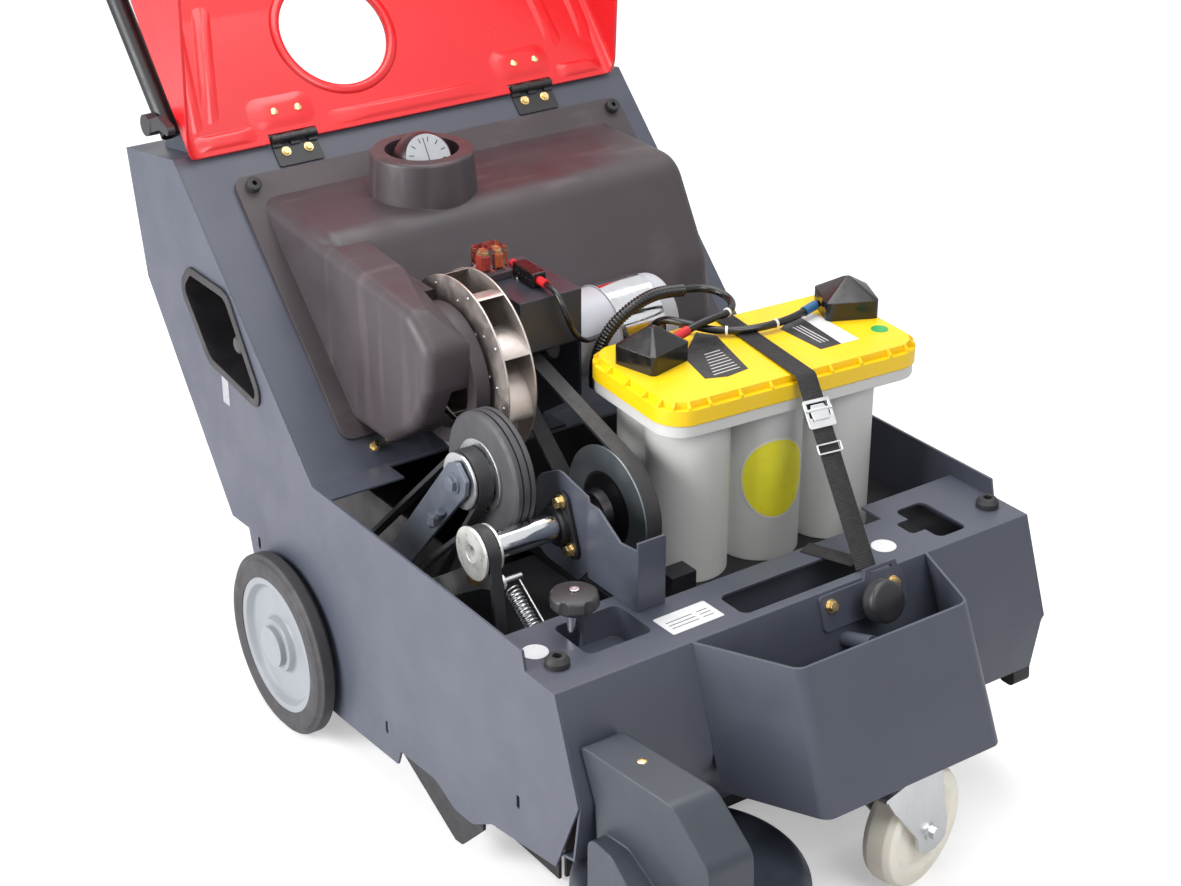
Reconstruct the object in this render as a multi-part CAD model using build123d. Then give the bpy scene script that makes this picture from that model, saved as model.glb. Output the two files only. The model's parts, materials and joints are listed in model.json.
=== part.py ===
from build123d import *
import math
import os

# A walk-behind battery sweeper with its hood swung open. Millimetres, +Z up, floor at z = 0.
# The front faces -Y, the drive side is at -X, and the origin lies under the rear axle.

# Fits
SHAFT_CLEARANCE = 0.05
RUN_GAP = 0.3
SEAT_GAP = 0.3

# Chassis sheet, side view corners given as (y, z)
SHEET = 3.0
BODY_WIDTH = 640.0
SLOPE_TOP = (233.0, 645.0)
TOP_REAR = (364.0, 624.0)
REAR_KINK = (335.0, 467.0)
REAR_FOOT = (147.0, 214.0)
SILL_Z = 345.0
SILL_FRONT_Y = -493.0
SILL_STEP = 5.0
FOOT_FLANGE = 39.0
DECK_Z = 324.0
DECK_FRONT_Y = -550.0
DECK_DEPTH = 86.0
DECK_WING_DEPTH = 120.0
DECK_WING_RIGHT_X = -120.0
DECK_WING_LEFT_X = 180.0
NOSE = (-590.0, 213.0)
FRONT_LIP = (-579.0, 141.0)
CHIN = (-550.0, 118.5)
TRAY_Z = 264.0
TRAY_REAR_Y = -107.0
DECK_GROMMETS = ((-287.0, -507.0), (297.0, -510.0))
KNOB_WELL = ((-251.0, -170.0), (-510.0, -445.0))
WELL_DEPTH = 37.0
WELL_WALL = 2.0
DECK_CUTS = (((-75, 90), (-538, -494), 9), ((203, 245), (-533, -459), 9), ((184, 213), (-510, -482), 6))
STAR_KNOB = (-237.0, -465.0)
PANEL_SLOTS = ((78.0, 207.0), (-214.0, 103.0), (-482.0, 158.0))

# Side pocket, its mouth's corners given as (y, z, radius)
POCKET = ((231, 488, 18), (207, 514, 12), (116, 514, 22), (52, 418, 14), (54, 402, 8), (170, 416, 26))
POCKET_DEPTH = 50.0
SHAKER = (112.0, 452.0)

# Road wheels
WHEEL_RADIUS = 112.0
WHEEL_WIDTH = 26.0
WHEEL_INSET = 3.0
RIM_RADIUS = 84.0
AXLE_RADIUS = 10.0
AXLE_PULLEY_RADIUS = 66.0
TRACTION_X = -226.0
TRACTION_WIDTH = 18.0
BELT_THICK = 5.0

# Drive shafts, centres as (y, z)
MOTOR_AXIS = (-123.0, 470.0)
COUNTER_AXIS = (-326.0, 362.0)
FRICTION_AXIS = (-254.0, 407.5)
BRUSH_AXIS = (-310.0, 130.0)
IDLER_AXIS = (-200.0, 250.0)
TENSION_PIVOT = (-296.0, 313.0)
TENSION_END = (-340.0, 326.0)
AXLE_AXIS = (0.0, WHEEL_RADIUS)
MOTOR_RADIUS = 52.0
MOTOR_FACE_X = -30.0
MOTOR_LENGTH = 150.0
MOTOR_SHAFT_RADIUS = 8.0
MOTOR_PULLEY_RADIUS = 20.0
BELT_PULLEY_RADIUS = 66.0
DRIVE_BELT_X = -85.0
DRIVE_BELT_WIDTH = 20.0
DRIVE_BELT_THICK = 4.0
COUNTER_RADIUS = 10.0
ROLLER_RADIUS = 15.0
WHITE_PULLEY_RADIUS = 22.5
WHITE_FLANGE_RADIUS = 30.0
BRUSH_BELT_X = -260.0
BRUSH_BELT_WIDTH = 14.0
BRUSH_PULLEY_RADIUS = 70.0
IDLER_RADIUS = 22.0
IDLER_PIN_RADIUS = 6.0
FRICTION_RADIUS = 69.5
FRICTION_X = (-212.0, -185.0)
FRICTION_BORE_RADIUS = 8.0
ZINC_PULLEY_RADIUS = 28.0
ARM_THICK = 5.0
ARM_X = -247.0
ARM_EYE_RADIUS = 24.0
BEARING_X = -156.0
LOBE_REACH = 31.0
COVER_X = -112.0
COVER_Y = (-182.0, -62.0)
COVER_TOP_Z = 556.0
FUSE_START = (-64.0, -94.0)
FUSE_WAY = (-0.06, -1.0, 0.0)
FUSE_REACH = 76.0
FUSE_BODY = 18.0

# Tension spring and its cable, ends given as (y, z)
SPRING_X = -238.0
SPRING_TOP = (-350.0, 319.5)
SPRING_SEAT = (-406.0, 283.0)
SPRING_COIL_RADIUS = 7.3
SPRING_WIRE_RADIUS = 1.1
SPRING_TURNS = 14
CABLE_X = -224.0

# Suction impeller
IMPELLER_RADIUS = 107.5
IMPELLER_EYE_RADIUS = 62.0
IMPELLER_X = (-160.0, -123.0)
IMPELLER_SHEET = 2.0
BLADE_COUNT = 9
BLADE_SWEEP = 34.0

# Filter box
BOX_X = (-262.0, 292.0)
BOX_S = (38.0, 382.0)
BOX_FLANGE = 6.0
BOSS_AXIS = (-62.0, 100.0)
BOSS_TOP_Z = 646.0
BOSS_TOP_RADIUS = 61.5
BOSS_BASE_RADIUS = 68.0
DIAL_RADIUS = 40.0
COLLAR_RADIUS = 80.0
COLLAR_X = (-184.0, -166.0)

# Battery
BATTERY_CENTRE = (115.6, -312.0)
BATTERY_TURN = -4.0
CELL_RADIUS = 47.0
CELL_PITCH = (98.0, 58.0)
CASE_SHIFT = -10.0
CASE_HEIGHT = 206.0
COLLAR_HEIGHT = 15.0
LID_HEIGHT = 26.0
LID_LENGTH = 346.0
LID_WIDTH = 182.0
LID_CORNER = 36.0
LID_STEP = 7.0
LID_STEP_HEIGHT = 8.0
LID_RIB = 3.2
LID_RIB_PITCH = (40.0, 36.0)
COVER_SPOTS = ((-122.0, 24.0, 18.0), (146.0, 28.0, -21.0))
COVER_SKIRT = 22.0
COVER_PEAK = 42.0
STRAP_FOOT = (88.5, -545.0)
STRAP_RUN = Vector(0.1424, 0.9898, 0)
STRAP_BENDS = (140.0, 328.0)
STRAP_WIDTH = 25.0
STRAP_THICK = 2.0
HOLD_DOWN = ((-62.0, -28.0), (-398.0, -372.0), 32.0)

# Cords, their routes given as (x, y, z)
LEAD_RADIUS = 4.5
FUSE_LEAD_RADIUS = 3.2
CONDUIT_RADIUS = 7.5
CONDUIT_BORE = 5.0
RIB_PITCH = 4.0
RIB_DEPTH = 1.2
LEADS = (
    (
        (232.0, -281.0, 508),
        (205, -288, 506),
        (175, -293, 505),
        (145, -293, 505),
        (115, -283, 503.5),
        (90, -263, 503.5),
        (72, -238, 508),
        (60, -214, 508),
        (52, -199, 494),
        (48, -194, 470),
        (46, -193, 445),
    ),
    (
        (26.3, -271.55, 510.1),
        (46, -264, 509),
        (70, -260, 513),
        (97, -260, 516),
        (120.5, -260, 517),
        (138, -242.5, 520),
        (138, -217.5, 524),
        (120.5, -200, 527),
        (98, -200, 529),
    ),
)
FUSE_LEAD = (
    (-68.55, -169.87, 565),
    (-69.63, -187.84, 565),
    (-70, -203, 553.5),
    (-65, -208, 532),
    (-52, -203, 511),
    (-32, -191, 495.5),
    (-16, -182, 490),
    (0, -174.5, 487),
)
CONDUIT = (
    (98, -200, 529),
    (70, -203, 535),
    (42, -207, 536),
    (16, -206, 526),
    (-4, -201, 508),
    (-15, -195, 484),
    (-18, -190, 458),
    (-16, -189, 434),
)

# Hood, closed side view corners as (y, z)
HINGE_AXIS = (225.0, 647.0)
HOOD_OPENING = 130.0
HOOD_HALF_WIDTH = 306.0
HOOD_WALL = 4.0
HOOD_EDGE = 18.0
HOOD_TOP_Z = 651.0
HOOD_REAR_Y = 229.0
HOOD_HOLE_RADIUS = 70.0
HINGE_CENTRES = (-165.0, 176.0)
HINGE_WIDTH = 60.0
KNUCKLE_RADIUS = 5.0
LEAF = 2.5

# Front guard and caster
GUARD_FLOOR_Z = 174.0
GUARD_FLARE = 10.0
CASTER_AXIS = (36.0, -662.0)
CASTER_TRAIL = 38.0
CASTER_TURN = 13.8
CASTER_RADIUS = 70.0
CASTER_WIDTH = 36.0
CASTER_BOLT_RADIUS = 6.0
FORK_ROOM = 3.0
KINGPIN_RADIUS = 8.0

# Side brush
SIDE_BRUSH_AXIS = (-203.0, -622.0)
SIDE_BRUSH_TILT = 3.0
DOME_RADIUS = 126.0
DOME_TOP_Z = 112.0
DOME_SKIRT_Z = 42.0
DOME_WALL = 5.0
BRISTLE_RADIUS = 141.0
BRISTLE_DROP = 37.0
BRISTLE = 3.4
ARM_TOP_Z = 272.0
ARM_POST = (-275.0, -618.0)
ARM_POST_RADIUS = 8.0
ARM_POST_TOP_Z = 236.0
SIDE_DISC_RADIUS = 75.0

# Main brush
BRUSH_RADIUS = 127.0
BRUSH_SLEEVE_RADIUS = 45.0
BRUSH_SHAFT_RADIUS = 12.0
BRUSH_X = (-225.0, 294.0)
BRUSH_ROWS = 8
BRUSH_ROW_STRANDS = 24
BRUSH_WALL_X = -243.0

# Hopper
HOPPER_X = (-190.0, 305.0)
HOPPER_Y = (-160.0, 35.0)
HOPPER_Z = (70.0, 257.0)

# Handle
HANDLE_PIVOT = (286.0, 674.0)
HANDLE_LEG_X = 300.0
HANDLE_TUBE_RADIUS = 12.5
HANDLE_LEG_LENGTH = 500.0
HANDLE_LEAN = 48.0
HANDLE_TUBE_WALL = 2.0
CROSS_BAR = (170.0, 210.0)
HOOD_STOP_X = 200.0
HOOD_STOP = 35.4

HALF = BODY_WIDTH / 2
INNER = HALF - SHEET
SLOPE_RISE = SLOPE_TOP[1] - SLOPE_TOP[0]
SLOPE_FOOT_Y = SILL_Z - SLOPE_RISE
FACE_LEAN = (DECK_FRONT_Y - NOSE[0]) / (DECK_Z - NOSE[1])
WHEEL_X = HALF + WHEEL_INSET
SLOPE = Plane((0, SLOPE_FOOT_Y, SILL_Z), x_dir=(1, 0, 0), z_dir=(0, -1, 1))
HANDLE_WAY = Vector(0, math.cos(math.radians(HANDLE_LEAN)), math.sin(math.radians(HANDLE_LEAN)))
HANDLE_OUT = Vector(0, HANDLE_WAY.Z, -HANDLE_WAY.Y)
FACE = Plane((0, DECK_FRONT_Y, DECK_Z), x_dir=(1, 0, 0), z_dir=(0, -1, FACE_LEAN))


def outline(*corners):
    """A flat face through corners (u, v) or (u, v, radius)."""
    count = len(corners)
    bends = []
    for index, corner in enumerate(corners):
        here = Vector(corner[0], corner[1])
        radius = corner[2] if len(corner) > 2 else 0
        if not radius:
            bends.append((here, None, here))
            continue
        back = (Vector(*corners[index - 1][:2]) - here).normalized()
        ahead = (Vector(*corners[(index + 1) % count][:2]) - here).normalized()
        half = math.radians(back.get_angle(ahead)) / 2
        reach = radius / math.tan(half)
        middle = here + (back + ahead).normalized() * (radius / math.sin(half) - radius)
        bends.append((here + back * reach, middle, here + ahead * reach))
    edges = []
    for index, (start, middle, stop) in enumerate(bends):
        if middle is not None:
            edges.append(Edge.make_three_point_arc(start, middle, stop))
        following = bends[(index + 1) % count][0]
        if (following - stop).length > 1e-6:
            edges.append(Edge.make_line(stop, following))
    return Face(Wire(edges))


def strip(points, thick):
    """A bent sheet seen edge on: the line of points thickened to its left."""
    line = [Vector(*point[:2]) for point in points]
    radii = [point[2] if len(point) > 2 else 0 for point in points]
    runs = [(b - a).normalized() for a, b in zip(line, line[1:])]
    left = [Vector(-run.Y, run.X) for run in runs]
    inner = [line[0] + left[0] * thick]
    for index in range(1, len(line) - 1):
        mitre = (left[index - 1] + left[index]).normalized()
        inner.append(line[index] + mitre * (thick / mitre.dot(left[index])))
    inner.append(line[-1] + left[-1] * thick)
    turns = [0] + [runs[i].cross(runs[i + 1]).Z for i in range(len(runs) - 1)] + [0]
    near = [(p.X, p.Y, r) for p, r in zip(line, radii)]
    far = []
    for point, radius, turn in zip(inner, radii, turns):
        bent = radius - math.copysign(thick, turn) if radius else 0
        far.append((point.X, point.Y, bent))
    return outline(*near, *reversed(far))


def prism_x(face, start, stop):
    placed = Plane((start, 0, 0), x_dir=(0, 1, 0), z_dir=(1, 0, 0)).location * face
    return Solid.extrude(placed, Vector(stop - start, 0, 0))


def prism_y(face, start, stop):
    placed = Plane((0, start, 0), x_dir=(1, 0, 0), z_dir=(0, -1, 0)).location * face
    return Solid.extrude(placed, Vector(0, stop - start, 0))


def prism_z(face, start, stop):
    return Solid.extrude(Pos(0, 0, start) * face, Vector(0, 0, stop - start))


def on_plane(plane, face, start, stop):
    placed = plane.offset(start).location * face
    return Solid.extrude(placed, plane.z_dir * (stop - start))


def block(x, y, z):
    size = (x[1] - x[0], y[1] - y[0], z[1] - z[0])
    return Solid.make_box(*size, Plane((x[0], y[0], z[0])))


def rod(start, stop, radius):
    start, stop = Vector(*start), Vector(*stop)
    return Solid.make_cylinder(radius, (stop - start).length, Plane(start, z_dir=stop - start))


def rod_x(axis, x, radius):
    return rod((x[0], *axis), (x[1], *axis), radius)


def rod_z(centre, z, radius):
    return rod((*centre, z[0]), (*centre, z[1]), radius)


def turned(profile, plane):
    """A solid of revolution: profile corners are (radius, height along the plane's axis)."""
    face = Rot(X=90) * outline(*profile)
    return plane.location * Solid.revolve(face, 360, Axis.Z)


def along_x(axis, x):
    return Plane((x, *axis), z_dir=(1, 0, 0))


def box_outline(x, y, radius=0):
    return outline((x[0], y[0], radius), (x[1], y[0], radius), (x[1], y[1], radius), (x[0], y[1], radius))


def joined(first, *others):
    return first.fuse(*others)


def hex_head(plane, across, height):
    reach = across / math.sqrt(3)
    angles = [math.radians(60 * i) for i in range(6)]
    points = [(reach * math.cos(angle), reach * math.sin(angle)) for angle in angles]
    washer = on_plane(plane, Face(Wire.make_circle(across * 0.75)), 0, height * 0.25)
    return joined(washer, on_plane(plane, outline(*points), height * 0.25, height))


def write(name, *shapes):
    solids = [solid for shape in shapes for solid in shape.solids()]
    export_step(solids[0] if len(solids) == 1 else Compound(solids), f"parts/{name}.step")


def face_y(z):
    """Where the leaning front face stands at height z, above the nose."""
    return DECK_FRONT_Y - (DECK_Z - z) * FACE_LEAN


def panel_outline():
    return outline(
        TOP_REAR,
        SLOPE_TOP,
        (SLOPE_FOOT_Y, SILL_Z),
        (SILL_FRONT_Y, SILL_Z),
        (SILL_FRONT_Y - SILL_STEP, DECK_Z),
        (DECK_FRONT_Y, DECK_Z),
        NOSE,
        CHIN,
        (-430, 99),
        (-392, 76, 25),
        (-356, 74, 30),
        (-318, 91, 30),
        (-243, 86),
        (-235, 65),
        (-100, 56),
        (40, 56, 20),
        (96, 183),
        (104, 216),
        REAR_FOOT,
        REAR_KINK,
    )


def side_panel_right():
    panel = prism_x(panel_outline(), -HALF, -INNER)
    panel -= prism_x(outline(*POCKET), -HALF, -INNER)
    panel -= rod_x(AXLE_AXIS, (-HALF, -INNER), AXLE_RADIUS + 4)
    for y, z in PANEL_SLOTS:
        panel -= prism_x(box_outline((y - 3, y + 3), (z - 8, z + 8), 2.5), -HALF, -INNER)
    return panel


def side_panel_left():
    panel = prism_x(panel_outline(), INNER, HALF)
    for y, z in PANEL_SLOTS:
        panel -= prism_x(box_outline((y - 3, y + 3), (z - 8, z + 8), 2.5), INNER, HALF)
    panel -= rod_x(AXLE_AXIS, (INNER, HALF), AXLE_RADIUS + SHAFT_CLEARANCE)
    stub = rod_x(AXLE_AXIS, (INNER, WHEEL_X + WHEEL_WIDTH - 6), AXLE_RADIUS)
    flange = rod_x(AXLE_AXIS, (INNER - 6, INNER), 3 * AXLE_RADIUS)
    cup = rod_x(BRUSH_AXIS, (BRUSH_X[1] + 3, INNER), 2 * BRUSH_SHAFT_RADIUS)
    cup -= rod_x(BRUSH_AXIS, (BRUSH_X[1] + 3, INNER), BRUSH_SHAFT_RADIUS + SHAFT_CLEARANCE)
    runner = block((HOPPER_X[1] - 10, INNER), (-150, 20), (HOPPER_Z[0] - 8, HOPPER_Z[0] - SEAT_GAP))
    return panel, joined(stub, flange), cup, runner


def top_panel():
    line = (
        (SLOPE_FOOT_Y - FOOT_FLANGE, SILL_Z),
        (SLOPE_FOOT_Y, SILL_Z),
        SLOPE_TOP,
        TOP_REAR,
        REAR_KINK,
    )
    sheet = prism_x(strip([*reversed(line)], SHEET), -INNER, INNER)
    window = block((-225, 255), (0, 170), (SILL_Z, SLOPE_TOP[1]))
    sheet -= window
    sheet -= block((-222, -110), (SLOPE_FOOT_Y - FOOT_FLANGE, SLOPE_FOOT_Y - 6), (SILL_Z - 9, SILL_Z))
    for side in (-1, 1):
        inside = side * (HANDLE_LEG_X - HANDLE_TUBE_RADIUS - RUN_GAP)
        plate = outline(
            (HANDLE_PIVOT[0] - 26, TOP_REAR[1] + 5),
            (HANDLE_PIVOT[0] - 14, HANDLE_PIVOT[1] + 14, 13),
            (HANDLE_PIVOT[0] + 14, HANDLE_PIVOT[1] + 14, 13),
            (HANDLE_PIVOT[0] + 40, TOP_REAR[1] + 5),
        )
        ear = prism_x(plate, inside, inside - side * 5)
        sheet = joined(sheet, ear)
        sheet -= rod_x(HANDLE_PIVOT, (inside, inside - side * 5), 5 + SHAFT_CLEARANCE)
    return sheet


def deck_plan():
    front, middle, wing = DECK_FRONT_Y, DECK_FRONT_Y + DECK_DEPTH, DECK_FRONT_Y + DECK_WING_DEPTH
    return outline(
        (-INNER, front + SHEET),
        (INNER, front + SHEET),
        (INNER, wing),
        (DECK_WING_LEFT_X, wing),
        (DECK_WING_LEFT_X, middle),
        (DECK_WING_RIGHT_X, middle),
        (DECK_WING_RIGHT_X, wing),
        (-INNER, wing),
    )


def front_deck():
    """The deck plate, its front apron, its rear wall, the knob well's pan and the spring's hook."""
    top = prism_z(deck_plan(), DECK_Z - SHEET, DECK_Z)
    lip_end = (FRONT_LIP[0] + 22, FRONT_LIP[1] - 6)
    line = [(DECK_FRONT_Y + 20, DECK_Z), (DECK_FRONT_Y, DECK_Z), NOSE, FRONT_LIP, lip_end]
    apron = prism_x(strip(line, SHEET), -INNER, INNER) - top
    back_y = DECK_FRONT_Y + DECK_DEPTH
    back_x = (DECK_WING_RIGHT_X, DECK_WING_LEFT_X)
    back = block(back_x, (back_y - SHEET, back_y), (TRAY_Z - SHEET, DECK_Z - SHEET))
    (x0, x1), (y0, y1) = KNOB_WELL
    wall = WELL_WALL
    depth = (DECK_Z - WELL_DEPTH - wall, DECK_Z - SHEET)
    pan = block((x0 - wall, x1 + wall), (y0 - wall, y1 + wall), depth)
    hollow = prism_z(box_outline((x0, x1), (y0, y1), 9), DECK_Z - WELL_DEPTH, DECK_Z)
    under = DECK_Z - SHEET
    hook_side = outline(
        (-398, 271),
        (-420, 304),
        (-430, under),
        (-440, under),
        (-437, 312),
        (-424, 301),
        (-402.5, 268),
    )
    hook = prism_x(hook_side, -239.5, -219)
    deck = top - hollow
    for x, y, radius in DECK_CUTS:
        deck -= prism_z(box_outline(x, y, radius), DECK_Z - SHEET, DECK_Z)
    for centre in DECK_GROMMETS:
        deck -= rod_z(centre, (DECK_Z - SHEET, DECK_Z), 9)
    return deck, apron, back, pan - hollow, hook


def battery_tray():
    run = (DECK_FRONT_Y + DECK_DEPTH, TRAY_REAR_Y)
    floor = block((DECK_WING_RIGHT_X, INNER), run, (TRAY_Z - SHEET, TRAY_Z))
    back = block((DECK_WING_RIGHT_X, INNER), (TRAY_REAR_Y - SHEET, TRAY_REAR_Y), (TRAY_Z, SILL_Z))
    lip = block((DECK_WING_RIGHT_X, DECK_WING_RIGHT_X + SHEET), run, (TRAY_Z, TRAY_Z + 12))
    x, y, height = HOLD_DOWN
    hold_down = block(x, y, (TRAY_Z, TRAY_Z + height))
    return joined(floor, back, lip), hold_down


def brush_housing():
    bottom = TRAY_Z - SHEET
    front = block((BRUSH_WALL_X, INNER), (-455, -452), (45, bottom))
    rear = block((TRACTION_X + TRACTION_WIDTH, INNER), (-168, -165), (190, bottom))
    wall = outline(
        (-452, 45),
        (-452, bottom),
        (-335, bottom),
        (-335, 335, 8),
        (-262, 335, 20),
        (-215, bottom),
        (-165, 190),
        (-165, 45),
    )
    end = prism_x(wall, BRUSH_WALL_X, BRUSH_WALL_X + SHEET)
    end -= rod_x(BRUSH_AXIS, (BRUSH_WALL_X, BRUSH_WALL_X + SHEET), BRUSH_SHAFT_RADIUS + 3)
    runner_top = HOPPER_Z[0] - SEAT_GAP
    cross = block((BRUSH_WALL_X + SHEET, HOPPER_X[0] + 8), (-168, -165), (45, runner_top))
    runner = block((HOPPER_X[0] - 14, HOPPER_X[0] + 8), (-165, 20), (runner_top - 8, runner_top))
    roof = block((BRUSH_WALL_X + SHEET, DECK_WING_RIGHT_X), (-452, -215), (bottom - SHEET, bottom))
    return joined(front, rear, end, cross, runner, roof)


def guard_plan(flare):
    return outline((-163, -530), (-97, -653, 18), (132 + flare, -653, 16), (176 + flare, -530))


def guard_body(inset, depth):
    rings = []
    for flare, drop in ((0, 0), (GUARD_FLARE, depth)):
        plan = offset(guard_plan(flare), -inset).face() if inset else guard_plan(flare)
        rings.append((Pos(0, -FACE_LEAN * drop, DECK_Z - drop) * plan).outer_wire())
    return Solid.make_loft(rings, True)


def front_guard():
    depth = DECK_Z - GUARD_FLOOR_Z
    region = outline((face_y(420), 420), (face_y(120), 120), (-900, 120), (-900, 420))
    guard = (guard_body(0, depth) - guard_body(SHEET, depth - SHEET)) & prism_x(region, -HALF, HALF)
    guard -= rod_z(CASTER_AXIS, (GUARD_FLOOR_Z, GUARD_FLOOR_Z + SHEET), KINGPIN_RADIUS + SHAFT_CLEARANCE)
    plate = on_plane(FACE, box_outline((12, 128), (-42, -3), 5), 0, 4)
    tab = on_plane(FACE, outline((74, -3), (78, 8), (120, 8), (124, -3)), 0, 4)
    tab -= on_plane(FACE, box_outline((84, 114), (1, 4)), 0, 4)
    peg = rod(FACE.from_local_coords((38, -56, 0)), FACE.from_local_coords((38, -56, 46)), 8)
    return guard, joined(plate, tab), peg


def bearing_bracket():
    x = -163.0
    front = block((x, x + 36), (-472, -472 + SHEET), (DECK_Z, 405))
    cheek = outline((-472, DECK_Z), (-472, 396), (-440, 392), (-402, 414, 8), (-384, 414), (-384, DECK_Z))
    side = prism_x(cheek, x, x + SHEET)
    joggle_plan = outline((x, -384), (x + SHEET, -384), (BEARING_X + SHEET, -372), (BEARING_X, -372))
    joggle = prism_z(joggle_plan, DECK_Z, 414)
    y, z = COUNTER_AXIS
    plate_side = outline(
        (-372, DECK_Z),
        (-372, 414),
        (y + 6, 424, 20),
        (y + 52, 400, 30),
        (y + 50, 308, 25),
        (y - 30, 305, 10),
    )
    plate = prism_x(plate_side, BEARING_X, BEARING_X + SHEET)
    plate -= rod_x(COUNTER_AXIS, (BEARING_X, BEARING_X + SHEET), COUNTER_RADIUS + 8)
    return joined(front, side, joggle, plate)


def lobe_spots(axis):
    """The bolt places (y, z) of a flange bearing."""
    y, z = axis
    angles = [math.radians(angle) for angle in (100, 220, 340)]
    return [(y + LOBE_REACH * math.cos(angle), z + LOBE_REACH * math.sin(angle)) for angle in angles]


def flange_bearing(axis, x, toward, radius):
    """A three-lobed flange bearing whose mounting face is at x."""
    lobes = [Plane((*spot, 0)) for spot in lobe_spots(axis)]
    base = make_hull([Edge.make_circle(11, lobe) for lobe in lobes]).face()
    bearing = joined(prism_x(base, x, x + toward * 5), rod_x(axis, (x, x + toward * 12), 22))
    return bearing - rod_x(axis, (x, x + toward * 12), radius + SHAFT_CLEARANCE)


def flange_bearings():
    return (
        flange_bearing(COUNTER_AXIS, BEARING_X, -1, COUNTER_RADIUS),
        flange_bearing(AXLE_AXIS, -INNER, 1, AXLE_RADIUS),
        flange_bearing(BRUSH_AXIS, BRUSH_WALL_X + SHEET, 1, BRUSH_SHAFT_RADIUS),
    )


def side_pocket():
    mouth = outline(*POCKET)
    inside = offset(mouth, -SHEET).face()
    rim = offset(mouth, 7).face()
    bottom = -HALF + POCKET_DEPTH
    cup = prism_x(mouth, -HALF, bottom) - prism_x(inside, -HALF, bottom - SHEET)
    trim = prism_x(rim, -HALF - SHEET, -HALF) - prism_x(inside, -HALF - SHEET, -HALF)
    cup = joined(cup, trim)
    back = (bottom - SHEET, bottom)
    for step in range(5):
        cup -= prism_x(box_outline((78 + 9 * step, 81 + 9 * step), (424, 434), 1), *back)
    return cup - rod_x(SHAKER, back, 5 + SHAFT_CLEARANCE)


def shaker_knob():
    stem = rod_x(SHAKER, (-HALF + 14, -HALF + POCKET_DEPTH + 12), 5)
    knob = turned(((0, 0), (10, 0, 4), (14, 8, 5), (9, 18, 3), (0, 18)), along_x(SHAKER, -HALF + 6))
    return joined(knob, stem)


def filter_hump():
    """The duct that leads from the filter box to the impeller's eye."""
    side = outline(
        (185, 597),
        (-152, 566, 30),
        (-194, 534, 24),
        (-188, 482, 20),
        (-158, 428, 30),
        (-94, 385, 24),
        (-27, 385),
    )
    hump = prism_x(side, BOX_X[0] + 24, COLLAR_X[0])
    outer = [edge for edge in hump.edges() if edge.center().X < BOX_X[0] + 25]
    hump = hump.fillet(14, [edge for edge in outer if edge.center().Z - edge.center().Y > SLOPE_RISE + 4])
    top_cut = Plane((-184, -10, 590), z_dir=(6300, -2784, 8640))
    return hump - on_plane(top_cut, box_outline((-400, 400), (-400, 400)), 0, 90)


def filter_boss():
    """The tapered boss under the dial, cut off at the slope."""
    profile = ((0, 500), (BOSS_BASE_RADIUS + 2, 500), (BOSS_TOP_RADIUS, BOSS_TOP_Z, 5), (0, BOSS_TOP_Z))
    boss = turned(profile, Plane((*BOSS_AXIS, 0)))
    top_z = SILL_Z + 330
    above = outline((SLOPE_FOOT_Y, SILL_Z), (SLOPE_FOOT_Y + 330, top_z), (-330, top_z), (-330, SILL_Z))
    return boss & prism_x(above, *BOX_X)


def filter_box():
    flange = on_plane(SLOPE, box_outline(BOX_X, BOX_S, 14), 0, BOX_FLANGE)
    profile = outline((185, 597), (28, 594, 45), (-38, 480, 60), (-52, 396, 25), (-30, 382))
    body = prism_x(profile, BOX_X[0] + 28, BOX_X[1] - 24)
    soft = [edge for edge in body.edges() if abs(edge.center().X - (BOX_X[0] + BOX_X[1]) / 2) > 200]
    lifted = [edge for edge in soft if edge.center().Z - edge.center().Y > SLOPE_RISE + 4]
    body = body.fillet(20, lifted)
    collar = rod_x(MOTOR_AXIS, COLLAR_X, COLLAR_RADIUS)
    bridge = prism_x(outline((144, 556), (-90, 556), (-30, 385)), COLLAR_X[0], COLLAR_X[1])
    shell = joined(flange, body, filter_hump(), collar, bridge, filter_boss())
    shell -= rod_x(MOTOR_AXIS, (COLLAR_X[0] - 20, COLLAR_X[1]), IMPELLER_EYE_RADIUS)
    shell -= rod_x(MOTOR_AXIS, (COLLAR_X[1], IMPELLER_X[1] + 6), IMPELLER_RADIUS + 4)
    shell -= rod_z(BOSS_AXIS, (BOSS_TOP_Z - 22, BOSS_TOP_Z), DIAL_RADIUS + 4)
    return shell - rod_z(BOSS_AXIS, (BOSS_TOP_Z - 40, BOSS_TOP_Z - 22), 6 + SHAFT_CLEARANCE)


def filter_dial():
    seat = BOSS_TOP_Z - 22 + SEAT_GAP
    profile = ((0, 0), (DIAL_RADIUS, 0), (DIAL_RADIUS, 10, 4), (0.6 * DIAL_RADIUS, 38, 24), (0, 42))
    dome = turned(profile, Plane((*BOSS_AXIS, seat)))
    cut = Plane((BOSS_AXIS[0] + 6, BOSS_AXIS[1] - 8, seat + 22), z_dir=(0.5, -0.62, 0.6))
    dome -= cut.location * Pos(0, 0, 50) * Solid.make_box(200, 200, 100, Plane((-100, -100, -50)))
    return joined(dome, rod_z(BOSS_AXIS, (seat - 14, seat), 6))


def rubber_buffers():
    profile = ((5, 0), (13, 0), (13, 6, 2), (9, 11.4, 2), (5, 11.4))
    buffers = [turned(profile, Plane((*centre, DECK_Z))) for centre in DECK_GROMMETS]
    for x in (-241.0, 276.0):
        seat = SLOPE.offset(BOX_FLANGE)
        seat.origin = SLOPE.from_local_coords((x, BOX_S[1] - 14, BOX_FLANGE))
        buffers.append(turned(((3, 0), (9, 0), (9, 9, 2), (3, 9)), seat))
    y, z = FRONT_LIP
    block_side = outline((y, z), (y + 22, z - 6), (y + 22, z - 20, 6), (y - 2, z - 20, 8))
    bumper = prism_x(block_side, 292, INNER)
    return (*buffers, bumper)


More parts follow.
